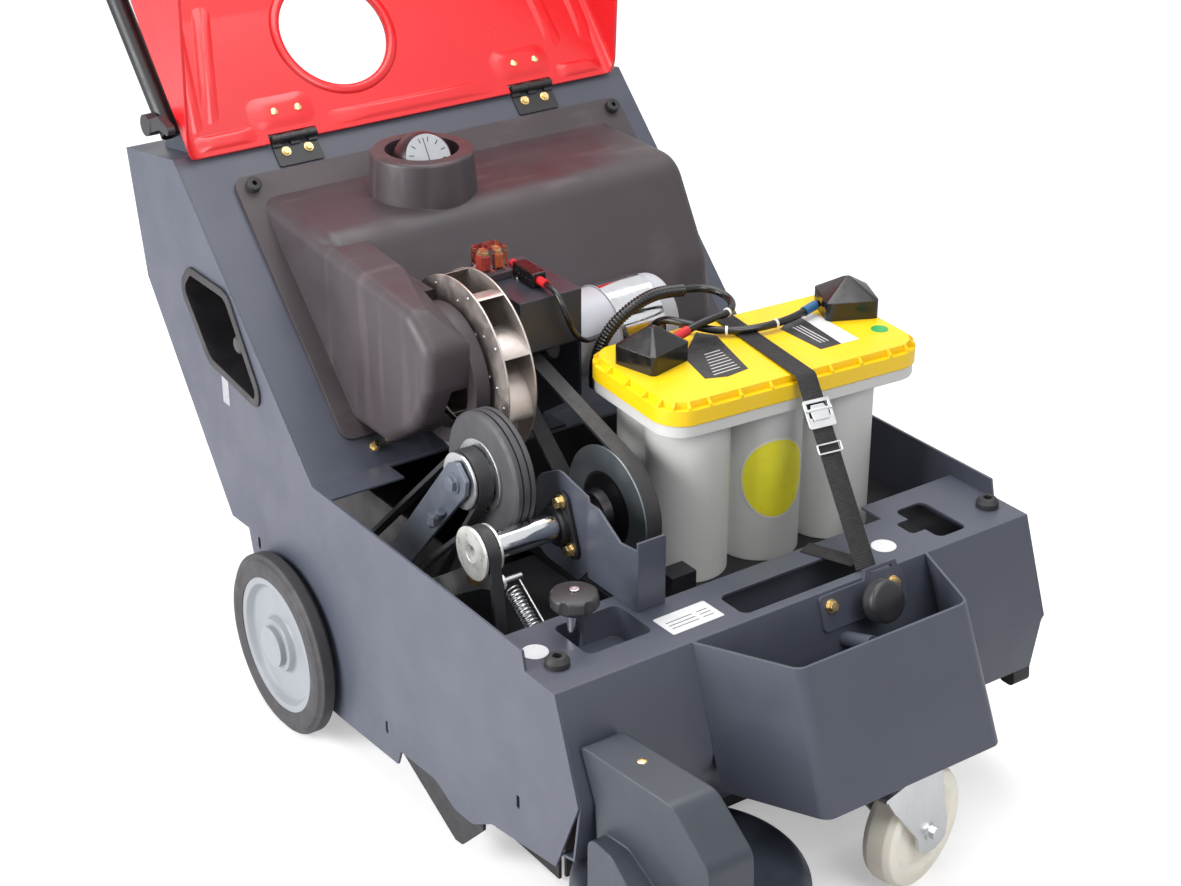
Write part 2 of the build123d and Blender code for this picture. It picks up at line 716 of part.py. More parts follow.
def motor_body():
    length = MOTOR_LENGTH
    profile = (
        (MOTOR_SHAFT_RADIUS + SHAFT_CLEARANCE, 0),
        (MOTOR_RADIUS - 4, 0, 4),
        (MOTOR_RADIUS - 2, 62),
        (MOTOR_RADIUS, 62),
        (MOTOR_RADIUS, 126),
        (MOTOR_RADIUS - 2, 126),
        (MOTOR_RADIUS - 4, length, 8),
        (0, length),
        (0, 24),
        (MOTOR_SHAFT_RADIUS + SHAFT_CLEARANCE, 24),
    )
    return turned(profile, along_x(MOTOR_AXIS, MOTOR_FACE_X))


def drive_cover():
    y0, y1 = COVER_Y
    foot_y = (SLOPE_FOOT_Y - FOOT_FLANGE + 2, SLOPE_FOOT_Y - 3)
    side = outline(
        (y0, COVER_TOP_Z),
        (y0, 425),
        (foot_y[0], 372),
        (foot_y[0], SILL_Z),
        (foot_y[1], SILL_Z),
        (y1, 372),
        (y1, COVER_TOP_Z),
    )
    plate = prism_x(side, MOTOR_FACE_X - SHEET, MOTOR_FACE_X)
    plate -= rod_x(MOTOR_AXIS, (MOTOR_FACE_X - SHEET, MOTOR_FACE_X), 20)
    foot = block((MOTOR_FACE_X, MOTOR_FACE_X + 32), foot_y, (SILL_Z, SILL_Z + SHEET))
    top = block((COVER_X, MOTOR_FACE_X - SHEET), COVER_Y, (COVER_TOP_Z - SHEET, COVER_TOP_Z))
    front = block((COVER_X, MOTOR_FACE_X - SHEET), (y0, y0 + SHEET), (494, COVER_TOP_Z - SHEET))
    left = block((COVER_X, COVER_X + SHEET), (y0 + SHEET, y1), (494, COVER_TOP_Z - SHEET))
    return joined(plate, foot, top, front, left)


def relay_fuses():
    top = COVER_TOP_Z
    base = block((-111, -76), (-112, -72), (top, top + 9))
    relays = [block((x, x + 16), (-106, -80), (top + 9, top + 36)) for x in (-110.0, -93.0)]
    half = FUSE_BODY / 2
    seat = Plane((*FUSE_START, top + half), x_dir=(-FUSE_WAY[1], FUSE_WAY[0], 0), z_dir=FUSE_WAY)
    sleeve = on_plane(seat, Face(Wire.make_circle(5)), 0, FUSE_REACH)
    holder = on_plane(seat, box_outline((-half, half), (-half, half), 2), 15, FUSE_REACH - 15)
    return (base, *relays, joined(holder, sleeve))


def in_battery(shape):
    return Location((*BATTERY_CENTRE, TRAY_Z), (0, 0, BATTERY_TURN)) * shape


def battery_case():
    pitch_x, pitch_y = CELL_PITCH
    cells = []
    for column in (-1, 0, 1):
        for row in (-0.5, 0.5):
            centre = (CASE_SHIFT + column * pitch_x, row * pitch_y)
            cells.append(rod_z(centre, (0, CASE_HEIGHT), CELL_RADIUS))
    core_x = (CASE_SHIFT - pitch_x, CASE_SHIFT + pitch_x)
    core = block(core_x, (-pitch_y / 2 - 8, pitch_y / 2 + 8), (0, CASE_HEIGHT))
    half_l, half_w = LID_LENGTH / 2 - 2, LID_WIDTH / 2 - 2
    rim_face = box_outline((-half_l, half_l), (-half_w, half_w), LID_CORNER - 2)
    collar = prism_z(rim_face, CASE_HEIGHT - COLLAR_HEIGHT, CASE_HEIGHT)
    return in_battery(joined(core, *cells, collar))


def lid_outline(inset):
    half_l, half_w = LID_LENGTH / 2 - inset, LID_WIDTH / 2 - inset
    return box_outline((-half_l, half_l), (-half_w, half_w), LID_CORNER - inset)


def lid_ribs():
    """Wedges in the step all round the lid's edge."""
    half_l, half_w = LID_LENGTH / 2, LID_WIDTH / 2
    long_pitch, end_pitch = LID_RIB_PITCH
    places = []
    for side in (-1, 1):
        places += [(index * long_pitch, side * half_w, 90 * side) for index in range(-3, 4)]
        places += [(side * half_l, index * end_pitch, 90 - 90 * side) for index in (-1, 0, 1)]
    for quarter in range(4):
        for angle in (90 * quarter + 15, 90 * quarter + 45, 90 * quarter + 75):
            way = Vector(math.cos(math.radians(angle)), math.sin(math.radians(angle)))
            x = math.copysign(half_l - LID_CORNER, way.X) + LID_CORNER * way.X
            places.append((x, math.copysign(half_w - LID_CORNER, way.Y) + LID_CORNER * way.Y, angle))
    top = LID_STEP_HEIGHT - 0.4
    root = -LID_STEP - 1
    side_view = outline((root, 0), (-0.4, 0), (-0.4, 3), (-LID_STEP + 1, top), (root, top))
    wedge = prism_y(side_view, LID_RIB / 2, -LID_RIB / 2)
    low = CASE_HEIGHT + LID_HEIGHT - LID_STEP_HEIGHT
    return [Location((x, y, low), (0, 0, turn)) * wedge for x, y, turn in places]


def battery_lid():
    top = CASE_HEIGHT + LID_HEIGHT
    base = prism_z(lid_outline(0), CASE_HEIGHT, top - LID_STEP_HEIGHT)
    crown = prism_z(lid_outline(LID_STEP), top - LID_STEP_HEIGHT, top)
    return in_battery(joined(base, crown, *lid_ribs()))


def terminal_covers():
    top = CASE_HEIGHT + LID_HEIGHT
    covers = []
    for x, y, turn in COVER_SPOTS:
        spot = Location((x, y, top), (0, 0, turn))
        low = spot * box_outline((-31, 31), (-29, 29), 6)
        mid = spot * Pos(0, 0, COVER_SKIRT) * box_outline((-31, 31), (-29, 29), 6)
        peak = spot * Pos(0, 0, COVER_PEAK) * box_outline((-4, 4), (-4, 4), 1)
        skirt = Solid.make_loft([low.outer_wire(), mid.outer_wire()], True)
        crown = Solid.make_loft([mid.outer_wire(), peak.outer_wire()], True)
        covers.append(in_battery(joined(skirt, crown)))
    return covers


def strap_plane():
    side = STRAP_RUN.cross(Vector(0, 0, 1))
    return Plane(Vector(*STRAP_FOOT, 0) - side * (STRAP_WIDTH / 2), x_dir=STRAP_RUN, z_dir=side)


def battery_strap():
    lid_top = TRAY_Z + CASE_HEIGHT + LID_HEIGHT + SEAT_GAP
    front, rear = STRAP_BENDS
    line = [(5, DECK_Z + 1.5), (front, lid_top + 1, 8), (rear, lid_top, 4), (rear + 1.5, TRAY_Z + 0.5)]
    over = on_plane(strap_plane(), strip(line, STRAP_THICK), 0, STRAP_WIDTH)
    tail = outline((79, -523), (56, -466), (78, -466), (103, -523))
    return over, prism_z(tail, DECK_Z, DECK_Z + STRAP_THICK)


def strap_buckle():
    """The cam buckle on the strap's front run."""
    lid_top = TRAY_Z + CASE_HEIGHT + LID_HEIGHT
    run = STRAP_RUN * (STRAP_BENDS[0] - 5) + Vector(0, 0, lid_top - DECK_Z - 1.5)
    across = STRAP_RUN.cross(Vector(0, 0, 1))
    spot = Vector(*STRAP_FOOT, DECK_Z + 1.5) + STRAP_RUN * 5 + run * 0.8
    seat = Plane(spot, x_dir=across, z_dir=across.cross(run.normalized()))
    low, high = STRAP_THICK + 1.0, STRAP_THICK + 3.4
    frame = on_plane(seat, box_outline((-17, 17), (-16, 16), 3), low, high)
    return frame - on_plane(seat, box_outline((-13, 13), (-4, 12)), low, high)


def cord_path(points):
    """Straight runs joined by tangent arcs as large as the runs allow."""
    knots = [Vector(*point) for point in points]
    radii = []
    for before, here, after in zip(knots, knots[1:], knots[2:]):
        turn = math.radians((here - before).get_angle(after - here))
        radii.append(0.45 * min((here - before).length, (after - here).length) / math.tan(turn / 2))
    print("cord radii", [round(radius, 1) for radius in radii])
    return FilletPolyline(*knots, radius=radii)


def cord(points, radius):
    path = cord_path(points)
    start = Plane(path @ 0, z_dir=path % 0)
    tube = sweep(start * Circle(radius), path=path)
    full = math.pi * radius**2 * path.length
    print("cord volume over section times length", round(tube.volume / full, 4))
    return tube


def battery_leads():
    return [*(cord(points, LEAD_RADIUS) for points in LEADS), cord(FUSE_LEAD, FUSE_LEAD_RADIUS)]


def cable_conduit():
    path = cord_path(CONDUIT)
    wire = path.wire()
    length = wire.length
    ribs = int((length - 4 * CONDUIT_RADIUS) / RIB_PITCH)
    start = (length - ribs * RIB_PITCH) / 2
    stations = [(0, CONDUIT_RADIUS - RIB_DEPTH)]
    for index in range(ribs):
        base = start + index * RIB_PITCH
        for share, radius in ((0.0, 0), (0.2, RIB_DEPTH), (0.6, RIB_DEPTH), (0.8, 0)):
            stations.append((base + share * RIB_PITCH, CONDUIT_RADIUS - RIB_DEPTH + radius))
    stations.append((length, CONDUIT_RADIUS - RIB_DEPTH))
    rings = []
    for at, radius in stations:
        where = wire.position_at(at / length)
        along = wire.tangent_at(at / length)
        across = Vector(0, 1, 0).cross(along)
        rings.append(Wire.make_circle(radius, Plane(where, x_dir=across, z_dir=along)))
    outer = Solid.make_loft(rings, True)
    bore = sweep(Plane(wire @ 0, z_dir=wire % 0) * Circle(CONDUIT_BORE), path=wire)
    return outer - bore


def hinge_parts():
    fixed, moving = [], []
    step = HINGE_WIDTH / 5
    axis_s = SLOPE.to_local_coords(Vector(0, *HINGE_AXIS)).Y
    for centre in HINGE_CENTRES:
        left = centre - HINGE_WIDTH / 2
        width = (left, left + HINGE_WIDTH)
        leaf = on_plane(SLOPE, box_outline(width, (BOX_S[1] + 4, axis_s - 8), 3), 0, LEAF)
        pin = rod_x(HINGE_AXIS, width, KNUCKLE_RADIUS / 2)
        leaf_y = (HINGE_AXIS[0] - 46, HINGE_AXIS[0] - 8)
        swing = block(width, leaf_y, (HOOD_TOP_Z, HOOD_TOP_Z + LEAF))
        for index in range(5):
            x = (left + index * step + 0.15, left + (index + 1) * step - 0.15)
            barrel = rod_x(HINGE_AXIS, x, KNUCKLE_RADIUS)
            if index % 2 == 0:
                web = on_plane(SLOPE, box_outline(x, (axis_s - 9, axis_s + 3)), 0, 5)
                leaf = joined(leaf, web, barrel)
            else:
                barrel -= rod_x(HINGE_AXIS, x, KNUCKLE_RADIUS / 2 + SHAFT_CLEARANCE)
                arm = block(x, (HINGE_AXIS[0] - 9, HINGE_AXIS[0]), (HOOD_TOP_Z, HOOD_TOP_Z + LEAF))
                swing = joined(swing, arm, barrel)
        fixed.append(joined(leaf, pin))
        moving.append(opened(swing))
    return fixed, moving


def opened(shape):
    """Swings a piece of the closed hood open about the hinge."""
    y, z = HINGE_AXIS
    return Pos(0, y, z) * Rot(X=-HOOD_OPENING) * Pos(0, -y, -z) * shape


def hood_section(inset, rim):
    """The closed hood's side view: rim is how far the cavity runs past the open edge."""
    top = HOOD_TOP_Z - inset
    rear = HOOD_REAR_Y + rim
    return outline(
        (rear, 646 - rim * 1.4),
        (rear, top),
        (60, top, 60),
        (-110, 640 - inset, 200),
        (-425 + inset * 0.4, 590 - inset, 70),
        (-516 + inset, 524 - inset * 0.4, 50),
        (-548 + inset, 336 - rim),
        (-90, 350 - rim * 1.6),
    )


def hood_form(inset, rim):
    """The closed hood's body with its long edges rounded."""
    half = HOOD_HALF_WIDTH - inset
    form = prism_x(hood_section(inset, rim), -half, half)
    ends = [edge for edge in form.edges() if abs(abs(edge.center().X) - half) < 1]
    return form.fillet(HOOD_EDGE - inset, [edge for edge in ends if upper_edge(edge.center())])


def hood():
    half = HOOD_HALF_WIDTH
    shell = hood_form(0, 0) - hood_form(HOOD_WALL, 6)
    shell -= rod_z((BOSS_AXIS[0], BOSS_AXIS[1] + 5), (HOOD_TOP_Z - 30, HOOD_TOP_Z + 10), HOOD_HOLE_RADIUS)
    for centre in HINGE_CENTRES:
        notch_x = (centre - HINGE_WIDTH / 2 - 2, centre + HINGE_WIDTH / 2 + 2)
        shell -= block(notch_x, (HINGE_AXIS[0] - 7, HOOD_REAR_Y), (HOOD_TOP_Z - HOOD_WALL, HOOD_TOP_Z))
    pads = []
    for side in (-1, 1):
        x = sorted((side * 272, side * (half - HOOD_WALL)))
        pads.append(block(x, (-522, -494), (DECK_Z + 12, DECK_Z + 18)))
    return opened(joined(shell, *pads))


def upper_edge(point):
    """True for the closed hood's top and front edges, false for its rim."""
    if point.Y > 220:
        return False
    if point.Y > -90:
        return point.Z > max(point.Y + SLOPE_RISE + 40, 420)
    return point.Z > 352 and not (point.Z < 352 and point.Y > -540)


def skirt_flaps():
    front = block((BRUSH_WALL_X + SHEET, INNER - 2), (-452, -448), (8, 120))
    end = block((BRUSH_WALL_X - 4, BRUSH_WALL_X), (-448, -335), (6, 100))
    edge = ((-228, 125), (-240, 84), (-350, 29, 6), (-364, 31, 6), (-408, 76), (-408, 125))
    return front, end, prism_x(outline(*edge), -INNER, -INNER + 4)


def belt(circles, thick, middle, width):
    """A flat belt drawn tight round circles given as (axis, radius)."""
    def loop(extra):
        rims = [Edge.make_circle(radius + RUN_GAP + extra, Plane((*axis, 0))) for axis, radius in circles]
        return make_hull(rims).face()

    span = (middle - width / 2, middle + width / 2)
    return prism_x(loop(thick), *span) - prism_x(loop(0), *span)


def drive_belt():
    circles = ((MOTOR_AXIS, MOTOR_PULLEY_RADIUS), (COUNTER_AXIS, BELT_PULLEY_RADIUS))
    return belt(circles, DRIVE_BELT_THICK, DRIVE_BELT_X, DRIVE_BELT_WIDTH)


def brush_belt():
    circles = (
        (COUNTER_AXIS, WHITE_PULLEY_RADIUS),
        (IDLER_AXIS, IDLER_RADIUS),
        (BRUSH_AXIS, BRUSH_PULLEY_RADIUS),
    )
    return belt(circles, BELT_THICK, BRUSH_BELT_X, BRUSH_BELT_WIDTH)


def traction_belt():
    circles = ((FRICTION_AXIS, ZINC_PULLEY_RADIUS), (AXLE_AXIS, AXLE_PULLEY_RADIUS))
    return belt(circles, BELT_THICK, TRACTION_X, TRACTION_WIDTH)


def biarc(start, start_way, stop, stop_way):
    """Two tangent arcs from start to stop."""
    gap = stop - start
    ways = start_way + stop_way
    a = 4 - ways.dot(ways)
    b = gap.dot(ways)
    reach = (math.sqrt(b * b + a * gap.dot(gap)) - b) / a
    joint = (start + start_way * reach + stop - stop_way * reach) * 0.5
    way = (stop - stop_way * reach - start - start_way * reach).normalized()
    return Edge.make_tangent_arc(start, start_way, joint), Edge.make_tangent_arc(joint, way, stop)


def tension_spring():
    top = Vector(SPRING_X, *SPRING_TOP)
    bottom = Vector(SPRING_X, SPRING_SEAT[0] + 1.5, SPRING_SEAT[1] + 1)
    along = (bottom - top).normalized()
    across = Vector(1, 0, 0)
    third = along.cross(across)
    pitch = (bottom - top).length / SPRING_TURNS
    slope = pitch / (2 * math.pi * SPRING_COIL_RADIUS)

    def point(turn):
        angle = 2 * math.pi * turn
        out = across * math.cos(angle) + third * math.sin(angle)
        return top + along * (pitch * turn) + out * SPRING_COIL_RADIUS

    def way(turn):
        angle = 2 * math.pi * turn
        return (third * math.cos(angle) - across * math.sin(angle) + along * slope).normalized()

    edges = []
    for half in range(2 * SPRING_TURNS):
        a, b = half / 2, (half + 1) / 2
        edges += biarc(point(a), way(a), point(b), way(b))
    samples = [point(i / 24) for i in range(24 * SPRING_TURNS)]
    pairs = [(a, samples[i + step]) for step in range(18, 31) for i, a in enumerate(samples[:-step])]
    least = min((a - b).length for a, b in pairs)
    print("spring gap to itself", round(least - 2 * SPRING_WIRE_RADIUS, 2))
    return sweep(Plane(point(0), z_dir=way(0)) * Circle(SPRING_WIRE_RADIUS), path=Wire(edges))


def tensioner_arm():
    x = (ARM_X, BRUSH_WALL_X - RUN_GAP)
    pivot = Edge.make_circle(14, Plane((*TENSION_PIVOT, 0)))
    ends = [Edge.make_circle(10, Plane((*TENSION_END, 0))), Edge.make_circle(12, Plane((*IDLER_AXIS, 0)))]
    arm = joined(*[prism_x(make_hull([pivot, end]).face(), *x) for end in ends])
    idler_pin = rod_x(IDLER_AXIS, (BRUSH_BELT_X - 12, x[0]), IDLER_PIN_RADIUS)
    hook_pin = rod_x(TENSION_END, (x[1], CABLE_X + 5), 3.5)
    return joined(arm, idler_pin, hook_pin)


def bowden_cable():
    start = Vector(CABLE_X, TENSION_END[0] - 4, TENSION_END[1] - 2.4)
    seat = Vector(CABLE_X, SPRING_SEAT[0] + 0.4, SPRING_SEAT[1] + 0.3)
    run = (seat - start).normalized()
    wire = rod(start, seat - run * 14, 1.2)
    ferrule = rod(seat - run * 16, seat, 4)
    return joined(wire, ferrule)


def bolts():
    heads = []
    for spot in lobe_spots(COUNTER_AXIS):
        heads.append(hex_head(Plane((BEARING_X - 5, *spot), z_dir=(-1, 0, 0)), 11, 8))
    heads.append(hex_head(Plane((ARM_X, *TENSION_PIVOT), z_dir=(-1, 0, 0)), 15, 9))
    for x in (25, 112):
        seat = Plane(FACE.from_local_coords((x, -16, 4)), x_dir=FACE.x_dir, z_dir=FACE.z_dir)
        heads.append(hex_head(seat, 10, 7))
    for centre in HINGE_CENTRES:
        for shift in (-15, 15):
            spot = SLOPE.from_local_coords((centre + shift, BOX_S[1] + 22, LEAF))
            heads.append(hex_head(Plane(spot, x_dir=SLOPE.x_dir, z_dir=SLOPE.z_dir), 8, 4))
    for x, s in ((-228, 24), (-206, 30)):
        spot = SLOPE.from_local_coords((x, s, 0))
        heads.append(hex_head(Plane(spot, x_dir=SLOPE.x_dir, z_dir=SLOPE.z_dir), 8, 10))
    return heads


def tyre(x, toward):
    width = WHEEL_WIDTH
    profile = (
        (RIM_RADIUS, 2),
        (RIM_RADIUS + 14, 0, 3),
        (WHEEL_RADIUS - 7, 1, 2),
        (WHEEL_RADIUS - 5, 4),
        (WHEEL_RADIUS, 6, 2),
        (WHEEL_RADIUS, width - 6, 2),
        (WHEEL_RADIUS - 5, width - 4),
        (WHEEL_RADIUS - 7, width - 1, 2),
        (RIM_RADIUS + 14, width, 3),
        (RIM_RADIUS, width - 2),
    )
    return turned(profile, Plane((x, 0, WHEEL_RADIUS), z_dir=(toward, 0, 0)))


def rim(x, toward, bore):
    """A dished wheel centre; its hub cap stands on the outer side."""
    width = WHEEL_WIDTH
    profile = (
        (bore, 2),
        (30, 2),
        (34, 8, 4),
        (66, 10, 5),
        (74, 3),
        (RIM_RADIUS, 3),
        (RIM_RADIUS, width - 3),
        (76, width - 3, 1.5),
        (70, width - 12, 5),
        (36, width - 12, 4),
        (32, width - 3, 2),
        (bore, width - 3),
    )
    cap = rod((x + toward * (width - 3), 0, WHEEL_RADIUS), (x + toward * (width + 4), 0, WHEEL_RADIUS), 25)
    return joined(turned(profile, Plane((x, 0, WHEEL_RADIUS), z_dir=(toward, 0, 0))), cap)


def rear_axle():
    half = TRACTION_WIDTH / 2 + 2
    inner = TRACTION_X + half + 3
    axle = rod_x(AXLE_AXIS, (-WHEEL_X - WHEEL_WIDTH + 3, inner), AXLE_RADIUS)
    drum = rod_x(AXLE_AXIS, (TRACTION_X - half, TRACTION_X + half), AXLE_PULLEY_RADIUS)
    sides = ((TRACTION_X - half - 3, TRACTION_X - half), (inner - 3, inner))
    lips = [rod_x(AXLE_AXIS, x, AXLE_PULLEY_RADIUS + 7) for x in sides]
    return joined(axle, drum, *lips)


def turned_caster(shape):
    """Swings a caster piece to the way it stands at rest."""
    x, y = CASTER_AXIS
    return Pos(x, y) * Rot(Z=CASTER_TURN) * Pos(-x, -y) * shape


def caster_fork():
    x, y = CASTER_AXIS
    top = GUARD_FLOOR_Z - RUN_GAP
    wheel_x = x + CASTER_TRAIL
    reach = CASTER_WIDTH / 2 + FORK_ROOM
    crown = rod_z(CASTER_AXIS, (158, top), 26)
    bridge = block((x - 54, x + 50), (y - reach - 4, y + reach + 4), (154, 158))
    edge = ((-54, 158), (-36, 132), (-11, 103), (14, 72), (17, 54, 6), (26, 46, 8), (50, 40, 10))
    edge += ((70, 46, 10), (71, 66, 10), (59, 112), (50, 158))
    leg = outline(*[(x + corner[0], *corner[1:]) for corner in edge])
    legs = [prism_y(leg, y - reach, y - reach - 4), prism_y(leg, y + reach, y + reach + 4)]
    left, right = [Vector(wheel_x, y + side * (reach + 4), CASTER_RADIUS) for side in (-1, 1)]
    ends = [hex_head(Plane(spot, z_dir=(0, spot.Y - y, 0)), 14, 8) for spot in (left, right)]
    bolt = rod(left, right, CASTER_BOLT_RADIUS)
    stem = rod_z(CASTER_AXIS, (top, GUARD_FLOOR_Z + 22), KINGPIN_RADIUS)
    nut = hex_head(Plane((x, y, GUARD_FLOOR_Z + SHEET + RUN_GAP)), 20, 12)
    return turned_caster(joined(crown, bridge, *legs, *ends, bolt, stem, nut))


def caster_wheel():
    x, y = CASTER_AXIS
    half = CASTER_WIDTH / 2
    bore = CASTER_BOLT_RADIUS + SHAFT_CLEARANCE
    profile = (
        (bore, -half - FORK_ROOM + RUN_GAP),
        (14, -half - FORK_ROOM + RUN_GAP),
        (16, -half + 4, 3),
        (44, -half + 6, 4),
        (52, -half, 3),
        (CASTER_RADIUS - 4, -half, 3),
        (CASTER_RADIUS, -half + 8, 6),
        (CASTER_RADIUS, half - 8, 6),
        (CASTER_RADIUS - 4, half, 3),
        (52, half, 3),
        (44, half - 6, 4),
        (16, half - 4, 3),
        (14, half + FORK_ROOM - RUN_GAP),
        (bore, half + FORK_ROOM - RUN_GAP),
    )
    return turned_caster(turned(profile, Plane((x + CASTER_TRAIL, y, CASTER_RADIUS), z_dir=(0, 1, 0))))


def main_brush():
    shaft = rod_x(BRUSH_AXIS, (BRUSH_BELT_X - 12, INNER - RUN_GAP), BRUSH_SHAFT_RADIUS)
    half = BRUSH_BELT_WIDTH / 2 + 1
    pulley = rod_x(BRUSH_AXIS, (BRUSH_BELT_X - half, BRUSH_BELT_X + half), BRUSH_PULLEY_RADIUS)
    lip = rod_x(BRUSH_AXIS, (BRUSH_BELT_X + half, BRUSH_BELT_X + half + 2), BRUSH_PULLEY_RADIUS + 7)
    sleeve = rod_x(BRUSH_AXIS, BRUSH_X, BRUSH_SLEEVE_RADIUS)
    strands = []
    pitch = (BRUSH_X[1] - BRUSH_X[0]) / BRUSH_ROW_STRANDS
    strand = block((-2, 2), (-2, 2), (BRUSH_SLEEVE_RADIUS - 4, BRUSH_RADIUS))
    for row in range(BRUSH_ROWS):
        for index in range(BRUSH_ROW_STRANDS):
            angle = 360 * row / BRUSH_ROWS + 60 * index / BRUSH_ROW_STRANDS
            x = BRUSH_X[0] + pitch * (index + 0.5)
            strands.append(Pos(x, *BRUSH_AXIS) * Rot(X=angle) * strand)
    return joined(shaft, pulley, lip, sleeve, *strands)


def countershaft():
    shaft = rod_x(COUNTER_AXIS, (BRUSH_BELT_X - 6, DRIVE_BELT_X + 13), COUNTER_RADIUS)
    return joined(shaft, rod_x(COUNTER_AXIS, (BRUSH_BELT_X + 12, BEARING_X - 12 - 1), ROLLER_RADIUS))


def white_pulley():
    profile = (
        (COUNTER_RADIUS, 0),
        (WHITE_FLANGE_RADIUS, 0),
        (WHITE_FLANGE_RADIUS, 3),
        (WHITE_PULLEY_RADIUS, 4),
        (WHITE_PULLEY_RADIUS, 20),
        (WHITE_FLANGE_RADIUS - 3, 21),
        (WHITE_FLANGE_RADIUS - 3, 24),
        (COUNTER_RADIUS, 24),
    )
    return turned(profile, along_x(COUNTER_AXIS, BRUSH_BELT_X - 12))


def belt_pulley():
    half = DRIVE_BELT_WIDTH / 2 + 1
    profile = (
        (COUNTER_RADIUS, -half - 22),
        (24, -half - 22, 3),
        (26, -half - 10),
        (40, -half - 3, 4),
        (BELT_PULLEY_RADIUS + 6, -half - 2),
        (BELT_PULLEY_RADIUS + 6, -half),
        (BELT_PULLEY_RADIUS, -half),
        (BELT_PULLEY_RADIUS, half),
        (BELT_PULLEY_RADIUS - 6, half),
        (BELT_PULLEY_RADIUS - 8, half - 10, 3),
        (26, half - 10, 3),
        (24, half),
        (COUNTER_RADIUS, half),
    )
    return turned(profile, along_x(COUNTER_AXIS, DRIVE_BELT_X))


def motor_shaft():
    shaft = rod_x(MOTOR_AXIS, (IMPELLER_X[1], MOTOR_FACE_X + 20), MOTOR_SHAFT_RADIUS)
    half = DRIVE_BELT_WIDTH / 2 + 2
    return joined(shaft, rod_x(MOTOR_AXIS, (DRIVE_BELT_X - half, DRIVE_BELT_X + half), MOTOR_PULLEY_RADIUS))


def impeller():
    x0, x1 = IMPELLER_X
    disc = rod_x(MOTOR_AXIS, (x0, x0 + IMPELLER_SHEET), IMPELLER_RADIUS)
    disc -= rod_x(MOTOR_AXIS, (x0, x0 + IMPELLER_SHEET), IMPELLER_EYE_RADIUS)
    back = rod_x(MOTOR_AXIS, (x1 - IMPELLER_SHEET, x1), IMPELLER_RADIUS)
    hub = rod_x(MOTOR_AXIS, (x1 - 16, x1 - IMPELLER_SHEET), 18)

    def spot(radius, angle):
        return Vector(radius * math.cos(math.radians(angle)), radius * math.sin(math.radians(angle)))

    middle = (0.8 * IMPELLER_RADIUS, 0.42 * BLADE_SWEEP)
    stations = ((IMPELLER_EYE_RADIUS, 0), middle, (IMPELLER_RADIUS - 1, BLADE_SWEEP))
    thick = math.degrees(IMPELLER_SHEET / IMPELLER_EYE_RADIUS)
    near = [spot(radius, angle) for radius, angle in stations]
    far = [spot(radius, angle + thick) for radius, angle in stations]
    edges = [
        Edge.make_three_point_arc(*near),
        Edge.make_line(near[2], far[2]),
        Edge.make_three_point_arc(*reversed(far)),
        Edge.make_line(far[0], near[0]),
    ]
    blade = Face(Wire(edges))
    blades = []
    for index in range(BLADE_COUNT):
        turned_face = Pos(*MOTOR_AXIS, 0) * Rot(Z=index * 360 / BLADE_COUNT) * blade
        blades.append(prism_x(turned_face, x0 + IMPELLER_SHEET, x1 - IMPELLER_SHEET))
    return joined(back, disc, hub, *blades)


def idler_pulley():
    half = BRUSH_BELT_WIDTH / 2 + 1
    profile = (
        (IDLER_PIN_RADIUS + SHAFT_CLEARANCE, -half),
        (IDLER_RADIUS, -half),
        (IDLER_RADIUS, half),
        (IDLER_PIN_RADIUS + SHAFT_CLEARANCE, half),
    )
    return turned(profile, along_x(IDLER_AXIS, BRUSH_BELT_X))


def friction_arm():
    x = (ARM_X, ARM_X + ARM_THICK)
    start, stop = Vector(*FRICTION_AXIS), Vector(*AXLE_AXIS)
    way = (stop - start).normalized()
    side = Vector(-way.Y, way.X)
    ends = [start - way * 24 - side * 12, start - way * 24 + side * 12, start - way * 8 + side * 21]
    ends += [stop + side * 14, stop - side * 14, start - way * 8 - side * 21]
    plate = prism_x(outline(*[(p.X, p.Y, 4) for p in ends]), *x)
    plate = joined(plate, rod_x(AXLE_AXIS, x, ARM_EYE_RADIUS))
    plate -= rod_x(AXLE_AXIS, x, AXLE_RADIUS + SHAFT_CLEARANCE)
    axle = rod_x(FRICTION_AXIS, (x[1], FRICTION_X[1] + 2), FRICTION_BORE_RADIUS)
    head = hex_head(Plane((x[0], *FRICTION_AXIS), z_dir=(-1, 0, 0)), 16, 7)
    bolt_start = start + way * 44 - side * 12
    screw = rod((x[0] - 5, *tuple(bolt_start)[:2]), (x[0] - 5, *tuple(bolt_start + way * 34)[:2]), 5)
    lug = block((x[0] - 11, x[0]), (-6, 6), (-6, 6))
    lug = Pos(0, *tuple(bolt_start + way * 20)[:2]) * lug
    return joined(plate, axle, head, screw, lug)


def friction_tyre():
    x0, x1 = FRICTION_X
    width = x1 - x0
    profile = [(36, 0), (FRICTION_RADIUS - 4, 0, 3), (FRICTION_RADIUS, 3)]
    for at in (9.0, width - 9.0):
        profile += [(FRICTION_RADIUS, at - 1.2), (FRICTION_RADIUS - 3, at - 0.8)]
        profile += [(FRICTION_RADIUS - 3, at + 0.8), (FRICTION_RADIUS, at + 1.2)]
    profile += [(FRICTION_RADIUS, width - 3), (FRICTION_RADIUS - 4, width, 3), (36, width)]
    return turned(profile, along_x(FRICTION_AXIS, x0))


